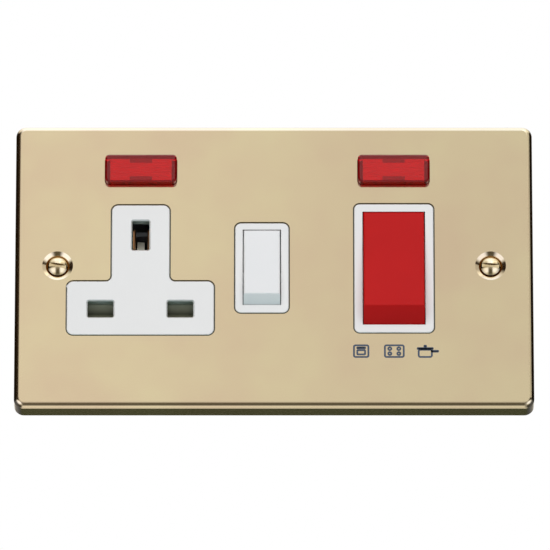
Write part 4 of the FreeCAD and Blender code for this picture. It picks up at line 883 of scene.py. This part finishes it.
@dataclass
class ShutterSpring:
    """Compression spring under the shutter; in the socket it shortens as a plug drives the shutter down.

    Attributes:
        x_mm: Place of its axis along X.
        y_mm: Place of its axis along Y.
        seat_mm: Height of the cover's floor that it stands on.
        length_mm: Its length at rest.
        coil_mm: Radius of the coil at the wire's middle.
        wire_mm: Radius of the wire.
        turns: Number of turns.
        travel_mm: How far the shutter comes down; not used.
        closed: Share of the pitch that is left at both ends.
        closed_turns: Turns at each end before the pitch opens, over one more turn.
        steps: Points of the helix in a turn.
        wire_sides: Sides of the wire.
        joint: The joint that presses it; not used.
    """

    x_mm: float = -37.2
    y_mm: float = -2.5
    seat_mm: float = -26.4
    length_mm: float = 10.4
    coil_mm: float = 1.03
    wire_mm: float = 0.17
    turns: float = 8.0
    travel_mm: float = 5.8
    closed: float = 0.3
    closed_turns: float = 0.5
    steps: int = 32
    wire_sides: int = 12
    joint: str = "shutter_slide"

    def build(self, finish: bpy.types.Material) -> bpy.types.Object:
        """Carry the wire's circle round a helix that climbs slowly in its first and last turns.

        Args:
            finish: Material of the wire.

        Returns:
            The piece, which stands for the CAD spring.
        """
        share = np.linspace(0, 1, int(self.turns * self.steps) + 1)
        angle = share * self.turns * 2 * math.pi
        opened = np.clip(np.minimum(share, 1 - share) * self.turns - self.closed_turns, 0, 1)
        climb = self.closed + (1 - self.closed) * opened
        rise = np.concatenate([[0.0], np.cumsum((climb[1:] + climb[:-1]) / 2)])
        rise = self.seat_mm + self.wire_mm + rise / rise[-1] * (self.length_mm - 2 * self.wire_mm)
        round_wire = np.linspace(0, 2 * math.pi, self.wire_sides, endpoint=False)
        radius = self.coil_mm + self.wire_mm * np.cos(round_wire)
        x = self.x_mm + radius[None, :] * np.cos(angle)[:, None]
        y = self.y_mm + radius[None, :] * np.sin(angle)[:, None]
        z = rise[:, None] + self.wire_mm * np.sin(round_wire)[None, :]
        piece = ring_piece("shutter_spring_coil", np.stack([x, y, z], axis=-1) * MM, finish,
                           smooth_deg=60.0)
        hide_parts("shutter_spring")
        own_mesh(piece)
        return piece


@dataclass
class PrintedRow:
    """Row of plain appliance pictograms under the cooker switch: an oven, a hob and a saucepan.

    Attributes:
        x_mm: Middle of the row along X.
        z_mm: Middle of the row along Z.
        face_mm: Depth of the plate's face.
        film_mm: How far the ink stands out of the face, and how far it sinks in.
        stroke_mm: Width of the ink's lines.
        marks_mm: The closed lines: name, middle from the row's middle, half width, half height and
            corner radius.
    """

    x_mm: float = 33.4
    z_mm: float = -25.7
    face_mm: float = -6.6
    film_mm: float = 0.02
    stroke_mm: float = 0.52
    marks_mm: tuple[tuple[str, float, float, float, float, float], ...] = (
        ("oven_case", -9.2, 0.0, 2.001, 1.74, 0.45),
        ("oven_window", -9.2, -0.348, 1.0788, 0.6264, 0.2),
        ("oven_handle", -9.2, 0.9744, 1.0788, 0.13, 0.1),
        ("hob_case", 0.0, 0.0, 2.61, 1.74, 0.45),
        ("pan_body", 8.591, -0.6612, 1.827, 1.0788, 0.5),
        ("pan_lid", 8.591, 0.783, 2.088, 0.13, 0.1),
        ("pan_knob", 8.591, 1.479, 0.234, 0.156, 0.12),
        ("pan_handle", 11.288, -0.0348, 0.87, 0.13, 0.1),
        ("hob_ring_1", -1.2528, -0.7308, 0.4176, 0.4176, 0.4176),
        ("hob_ring_2", 1.2528, -0.7308, 0.4176, 0.4176, 0.4176),
        ("hob_ring_3", -1.2528, 0.7308, 0.4176, 0.4176, 0.4176),
        ("hob_ring_4", 1.2528, 0.7308, 0.4176, 0.4176, 0.4176))

    def stroke(self, name: str, line: np.ndarray, finish: bpy.types.Material) -> bpy.types.Object:
        """Closed line of ink: its outline is moved half a stroke out and in along its own normal.

        Args:
            name: Name of the piece.
            line: Points as (x, z) rows, once round, from the row's middle.
            finish: Material of the ink.

        Returns:
            The piece.
        """
        ahead = np.roll(line, -1, axis=0) - np.roll(line, 1, axis=0)
        normal = np.stack([ahead[:, 1], -ahead[:, 0]], axis=-1)
        normal /= np.linalg.norm(normal, axis=1, keepdims=True)
        rings = []
        for side, depth in ((1, -1), (-1, -1), (-1, 1), (1, 1)):
            edge = line + normal * side * self.stroke_mm / 2
            y = self.face_mm - self.film_mm if depth < 0 else self.face_mm + self.film_mm
            rings.append(at_depth(edge, self.x_mm, y, self.z_mm))
        return ring_piece(name, np.array(rings) * MM, finish, closed=True)

    def build(self, finish: bpy.types.Material) -> list[bpy.types.Object]:
        """Draw the closed lines of the three pictograms.

        Args:
            finish: Material of the ink.

        Returns:
            The pieces.
        """
        return [self.stroke("print_" + name, rounded_outline(half_w, half_h, corner) + np.array([x, z]),
                            finish)
                for name, x, z, half_w, half_h, corner in self.marks_mm]


@dataclass
class Studio:
    """Camera, floor, lamp and surroundings.

    Attributes:
        distance_m: From the plate to the camera; a long lens keeps the plate's edges parallel.
        below_deg: How far below the plate's axis the camera stands.
        turn_deg: How far to the right it stands.
        frame_mm: Width that the picture shows at the plate.
        aim_mm: Point of the plate in the middle of the picture.
        sensor_mm: Width of the camera's sensor.
        clip_m: How far the camera sees.
        floor_m: Height of the floor.
        floor_size_m: Length of its sides.
        floor_colour: sRGB colour of its paint.
        lamp_size_m: Length of the soft box's sides.
        lamp_watts: Power of the soft box.
        lamp_m: Place of the soft box.
        lamp_tilt_deg: How far it leans up from straight down.
        lamp_turn_deg: How far it turns about Z.
        middle_panels: Angles over the top (negative) or under, and what is mirrored there.
        side_panels: Heights from straight down, -1, to straight up, 1, and what is mirrored there.
        side_start: Shares of X in the direction between which the side panels take over.
        front_start: Shares of -Y, or of +Z, between which the side panels rise to full light.
        rear_level: Share of their light that is left at the sides and behind.
        key_way: Direction of the key light.
        key_reach: Cosines from the key direction between which its lobe rises.
        key_light: The lobe's colour.
        rest_light: Colour of the light from elsewhere.
        low_way: Direction of the cool light that comes back from the table.
        low_reach: Cosines from that direction between which its lobe rises.
        low_light: Its colour.
        rear_way: Direction of the fill light behind the wall plate.
        rear_reach: Cosines from that direction between which its lobe rises.
        rear_light: Its colour.
    """

    distance_m: float = 3.0
    below_deg: float = 22.4
    turn_deg: float = 0.0
    frame_mm: float = 153.2
    aim_mm: Triple = (0.26, -6.6, -2.83)
    sensor_mm: float = 36.0
    clip_m: float = 20.0
    floor_m: float = -3.0
    floor_size_m: float = 1.6
    floor_colour: str = "#F2F2F0"
    lamp_size_m: float = 1.3
    lamp_watts: float = 3.5
    lamp_m: Triple = (0.9, -1.1, 1.1)
    lamp_tilt_deg: float = 52.0
    lamp_turn_deg: float = 39.0
    middle_panels: Panels = (
        (-180, grey(0.9)), (-150, grey(0.9)), (-90, (1.5, 1.65, 2.1, 1.0)), (-42, (1.4, 1.55, 2.0, 1.0)),
        (-30, grey(0.88)), (-22, grey(0.845)), (-12, grey(0.7)), (-2, grey(0.4)), (8, (0.2, 0.18, 0.15, 1.0)),
        (18, (0.12, 0.105, 0.08, 1.0)), (40, (0.1, 0.09, 0.065, 1.0)), (52, grey(0.2)), (66, grey(0.52)),
        (80, grey(0.76)), (125, grey(0.82)), (142, grey(0.95)), (150, (0.08, 0.09, 0.055, 1.0)),
        (172, (0.04, 0.048, 0.028, 1.0)), (180, grey(0.5)))
    side_panels: Panels = (
        (-1.0, grey(0.7)), (-0.85, grey(0.7)), (-0.65, grey(0.9)), (-0.45, (1.4, 1.5, 1.9, 1.0)),
        (-0.05, (1.4, 1.5, 1.9, 1.0)), (0.08, grey(0.7)), (0.17, (0.035, 0.022, 0.01, 1.0)),
        (0.6, (0.025, 0.014, 0.005, 1.0)), (0.78, grey(0.9)), (1.0, (1.4, 1.5, 1.9, 1.0)))
    side_start: tuple[float, float] = (0.14, 0.44)
    front_start: tuple[float, float] = (0.25, 0.7)
    rear_level: float = 0.08
    key_way: Triple = (-0.06, -0.95, 0.306)
    key_reach: tuple[float, float] = (0.55, 0.985)
    key_light: Colour = (1.95, 1.85, 1.84, 1.0)
    rest_light: Colour = (0.05, 0.06, 0.062, 1.0)
    low_way: Triple = (0.0, -0.35, -0.937)
    low_reach: tuple[float, float] = (0.5, 1.0)
    low_light: Colour = (0.4, 0.72, 0.79, 1.0)
    rear_way: Triple = (0.15, 0.9, 0.41)
    rear_reach: tuple[float, float] = (0.25, 0.95)
    rear_light: Colour = (1.3, 1.3, 1.32, 1.0)

    def camera(self) -> None:
        """Stand the camera below the plate's axis and aim it at the picture's middle."""
        below = math.radians(self.below_deg)
        turn = math.radians(self.turn_deg)
        data = bpy.data.cameras.new("camera")
        data.sensor_width = self.sensor_mm
        data.lens = self.sensor_mm * self.distance_m / (self.frame_mm * MM)
        data.clip_end = self.clip_m
        camera = bpy.data.objects.new("camera", data)
        back = np.array([math.sin(turn) * math.cos(below), -math.cos(turn) * math.cos(below),
                         -math.sin(below)])
        camera.location = np.array(self.aim_mm) * MM + back * self.distance_m
        camera.rotation_euler = (math.pi / 2 + below, 0.0, turn)
        bpy.context.scene.collection.objects.link(camera)
        bpy.context.scene.camera = camera

    def floor(self) -> None:
        """Pale floor far below, white where the camera, metal or glass sees it."""
        half = self.floor_size_m / 2
        mesh = bpy.data.meshes.new("floor")
        mesh.from_pydata([(-half, -half, self.floor_m), (half, -half, self.floor_m),
                          (half, half, self.floor_m), (-half, half, self.floor_m)], [], [(0, 1, 2, 3)])
        material = bpy.data.materials.new("pale_studio_floor")
        material.use_nodes = True
        tree = material.node_tree
        tree.nodes.clear()
        path = add_node(tree, "ShaderNodeLightPath")
        seen = add_node(tree, "ShaderNodeMath", {0: path.outputs["Is Camera Ray"],
                                                 1: path.outputs["Is Glossy Ray"]}, operation="MAXIMUM")
        through = add_node(tree, "ShaderNodeMath", {0: seen.outputs[0],
                                                    1: path.outputs["Is Transmission Ray"]},
                           operation="MAXIMUM")
        paint = add_node(tree, "ShaderNodeBsdfDiffuse", {"Color": linear(self.floor_colour)})
        white = add_node(tree, "ShaderNodeEmission", {"Color": grey(1.0), "Strength": 1.0})
        mixed = add_node(tree, "ShaderNodeMixShader", {0: through.outputs[0], 1: paint.outputs[0],
                                                       2: white.outputs[0]})
        add_node(tree, "ShaderNodeOutputMaterial", {"Surface": mixed.outputs[0]})
        mesh.materials.append(material)
        floor = bpy.data.objects.new("floor", mesh)
        bpy.context.scene.collection.objects.link(floor)

    def lamp(self) -> None:
        """One large soft box, high on the right."""
        data = bpy.data.lights.new("soft_box", "AREA")
        data.shape = "SQUARE"
        data.size = self.lamp_size_m
        data.energy = self.lamp_watts
        lamp = bpy.data.objects.new("soft_box", data)
        lamp.location = self.lamp_m
        lamp.rotation_euler = (math.radians(self.lamp_tilt_deg), 0.0, math.radians(self.lamp_turn_deg))
        bpy.context.scene.collection.objects.link(lamp)

    def mirrored(self, tree: bpy.types.NodeTree, split: bpy.types.Node) -> bpy.types.NodeSocket:
        """Panels and dark flags round the object, for its metal and gloss to mirror.

        Straight ahead and behind, the colour goes by the angle over the top or under. Off to
        the sides it goes by height: pale panels low at both sides of the camera, a dark belt
        above them and a soft light overhead.

        Args:
            tree: The world's tree.
            split: Node that gives the parts of the direction.

        Returns:
            The colour's socket.
        """
        ahead = add_node(tree, "ShaderNodeMath", {0: split.outputs["Y"], 1: -1.0}, operation="MULTIPLY")
        down = add_node(tree, "ShaderNodeMath", {0: split.outputs["Z"], 1: -1.0}, operation="MULTIPLY")
        over = add_node(tree, "ShaderNodeMath", {0: down.outputs[0], 1: ahead.outputs[0]},
                        operation="ARCTAN2")
        turn = add_node(tree, "ShaderNodeMapRange", {"Value": over.outputs[0], "From Min": -math.pi,
                                                     "From Max": math.pi})
        middle = add_node(tree, "ShaderNodeValToRGB", {"Fac": turn.outputs["Result"]},
                          tuple(((angle + 180) / 360, colour) for angle, colour in self.middle_panels))
        rise = add_node(tree, "ShaderNodeMapRange", {"Value": split.outputs["Z"], "From Min": -1.0})
        nearest = add_node(tree, "ShaderNodeMath", {0: ahead.outputs[0], 1: split.outputs["Z"]},
                           operation="MAXIMUM")
        front = add_node(tree, "ShaderNodeMapRange", {"Value": nearest.outputs[0],
                                                      "From Min": self.front_start[0],
                                                      "From Max": self.front_start[1],
                                                      "To Min": self.rear_level})
        sides = add_node(tree, "ShaderNodeValToRGB", {"Fac": rise.outputs["Result"]},
                         tuple(((height + 1) / 2, colour) for height, colour in self.side_panels))
        kept = add_node(tree, "ShaderNodeMix", {0: 1.0, 6: sides.outputs["Color"],
                                                7: front.outputs["Result"]},
                        data_type="RGBA", blend_type="MULTIPLY")
        aside = add_node(tree, "ShaderNodeMath", {0: split.outputs["X"]}, operation="ABSOLUTE")
        share = add_node(tree, "ShaderNodeMapRange", {"Value": aside.outputs[0],
                                                      "From Min": self.side_start[0],
                                                      "From Max": self.side_start[1]},
                         interpolation_type="SMOOTHSTEP")
        return add_node(tree, "ShaderNodeMix", {0: share.outputs["Result"], 6: middle.outputs["Color"],
                                                7: kept.outputs[2]}, data_type="RGBA").outputs[2]

    def soft(self, tree: bpy.types.NodeTree, way: bpy.types.NodeSocket) -> bpy.types.NodeSocket:
        """Light for the paint and plastic: a wide key lobe, a cool one from below, one behind, and a rest.

        Args:
            tree: The world's tree.
            way: The direction's socket.

        Returns:
            The colour's socket.
        """
        colour = self.rest_light
        for lobe, reach, light in ((self.rear_way, self.rear_reach, self.rear_light),
                                   (self.low_way, self.low_reach, self.low_light),
                                   (self.key_way, self.key_reach, self.key_light)):
            toward = add_node(tree, "ShaderNodeVectorMath", {0: way, 1: lobe}, operation="DOT_PRODUCT")
            share = add_node(tree, "ShaderNodeMapRange", {"Value": toward.outputs["Value"],
                                                          "From Min": reach[0], "From Max": reach[1]},
                             interpolation_type="SMOOTHSTEP")
            colour = add_node(tree, "ShaderNodeMix", {0: share.outputs["Result"], 6: colour, 7: light},
                              data_type="RGBA").outputs[2]
        return colour

    def surroundings(self) -> None:
        """White for the camera, soft light for the plastic, and panels for the metal to mirror."""
        world = bpy.data.worlds.new("studio")
        bpy.context.scene.world = world
        world.use_nodes = True
        tree = world.node_tree
        tree.nodes.clear()
        way = add_node(tree, "ShaderNodeTexCoord").outputs["Generated"]
        split = add_node(tree, "ShaderNodeSeparateXYZ", {"Vector": way})
        path = add_node(tree, "ShaderNodeLightPath")
        lit = add_node(tree, "ShaderNodeMix", {0: path.outputs["Is Glossy Ray"], 6: self.soft(tree, way),
                                               7: self.mirrored(tree, split)}, data_type="RGBA")
        seen = add_node(tree, "ShaderNodeMath", {0: path.outputs["Is Camera Ray"],
                                                 1: path.outputs["Is Transmission Ray"]}, operation="MAXIMUM")
        shown = add_node(tree, "ShaderNodeMix", {0: seen.outputs[0], 6: lit.outputs[2], 7: grey(1.0)},
                         data_type="RGBA")
        light = add_node(tree, "ShaderNodeBackground", {"Color": shown.outputs[2], "Strength": 1.0})
        add_node(tree, "ShaderNodeOutputWorld", {"Surface": light.outputs["Background"]})

    def build(self) -> None:
        """Set up everything that isn't part of the object."""
        self.camera()
        self.floor()
        self.lamp()
        self.surroundings()
        bpy.context.scene.view_settings.view_transform = "Standard"


@dataclass
class CookerControlUnit:
    """The object: which finish each CAD node wears, and the pieces added to it.

    Attributes:
        socket_x_mm: Middle of the socket along X.
        cooker_x_mm: Middle of the cooker switch along X.
        resistor_half_mm: Half the length of a resistor's banded body.
        resistor_colour: sRGB colour of its lacquer.
        resistor_bands: Places of its code bands along the body, and their colours.
        band_share: Width of a band as a share of the body.
    """

    socket_x_mm: float = -37.2
    cooker_x_mm: float = 33.4
    resistor_half_mm: float = 3.25
    resistor_colour: str = "#D9C49A"
    resistor_bands: tuple[tuple[float, str], ...] = (
        (0.2, "#6B3A1E"), (0.38, "#2B2B2B"), (0.56, "#D8B21E"), (0.82, "#C8A44A"))
    band_share: float = 0.09

    def worn(self) -> dict[Finish, list[str]]:
        """Which CAD nodes wear each finish."""
        poles = ("line", "neutral")
        places = ("socket", "cooker")
        return {
            PLATE_BRASS: ["front_plate"],
            SCREW_BRASS: ["fixing_screw_left", "fixing_screw_right"],
            BAR_BRASS: ["earth_terminal"] + [f"{pole}_{row}_terminal" for pole in poles
                                             for row in ("supply", "load")],
            BRONZE: ["line_contact", "neutral_contact", "earth_contact", "earth_strap",
                     "socket_rocking_contact", "socket_fixed_contact"]
            + [f"{pole}_{piece}" for pole in poles
               for piece in ("rocking_contact", "supply_strap", "load_strap")],
            ZINC: ["earth_clamp_screw", "supply_clamp_screws", "load_clamp_screws", "socket_case_screws",
                   "cooker_case_screws"],
            SPRING: ["push_on_washers", "shutter_spring", "socket_plunger_spring", "line_plunger_spring",
                     "neutral_plunger_spring"],
            WHITE_UREA: ["socket_cover", "cooker_cover"] + [place + "_neon_holder" for place in places],
            WHITE_ROCKER: ["socket_rocker"],
            RED_ROCKER: ["cooker_rocker"],
            GREY_NYLON: ["socket_base", "cooker_base"],
            SHUTTER_ACETAL: ["socket_shutter"],
            NATURAL_NYLON: ["socket_plunger", "line_plunger", "neutral_plunger"],
            BROWN_PVC: ["line_link"],
            BLUE_PVC: ["neutral_link"],
            LAMP_GLASS: [place + "_neon_lamp" for place in places],
        }

    def dress(self) -> None:
        """Put each finish on its CAD nodes."""
        for finish, names in self.worn().items():
            material = finish.material()
            for name in names:
                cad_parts[name].material_slots[0].material = material
            LOG.info("%s: %d nodes", finish.name, len(names))
        for place, x in (("socket", self.socket_x_mm), ("cooker", self.cooker_x_mm)):
            paint = Banded(place + "_resistor_lacquer", self.resistor_colour, self.resistor_colour, 0.35, 1.0,
                           x, self.resistor_half_mm, self.resistor_bands, self.band_share)
            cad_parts[place + "_neon_resistor"].material_slots[0].material = paint.material()

    def add_pieces(self) -> None:
        """Build the pieces that the CAD nodes don't have."""
        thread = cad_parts["fixing_screw_left"].material_slots[0].material
        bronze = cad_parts["earth_contact"].material_slots[0].material
        for side in (-1, 1):
            FixingScrew(side).build(thread)
            EarthLip(side).build(bronze)
        ShutterSpring().build(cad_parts["shutter_spring"].material_slots[0].material)
        shell, ribs, tabs = (finish.material() for finish in (RED_CLEAR, RED_RIBS, RED_TABS))
        for place, x in (("socket", self.socket_x_mm), ("cooker", self.cooker_x_mm)):
            neon = NeonIndicator(place, x)
            neon.shell(shell)
            neon.ribs(ribs)
            neon.tabs(tabs)
            neon.flange(tabs)
        PrintedRow().build(INK.material())


def main() -> None:
    """Build the object, then the studio round it."""
    logging.basicConfig(level=logging.INFO, format="%(name)s: %(message)s")
    unit = CookerControlUnit()
    unit.dress()
    unit.add_pieces()
    Studio().build()


if __name__ == "__main__":
    main()
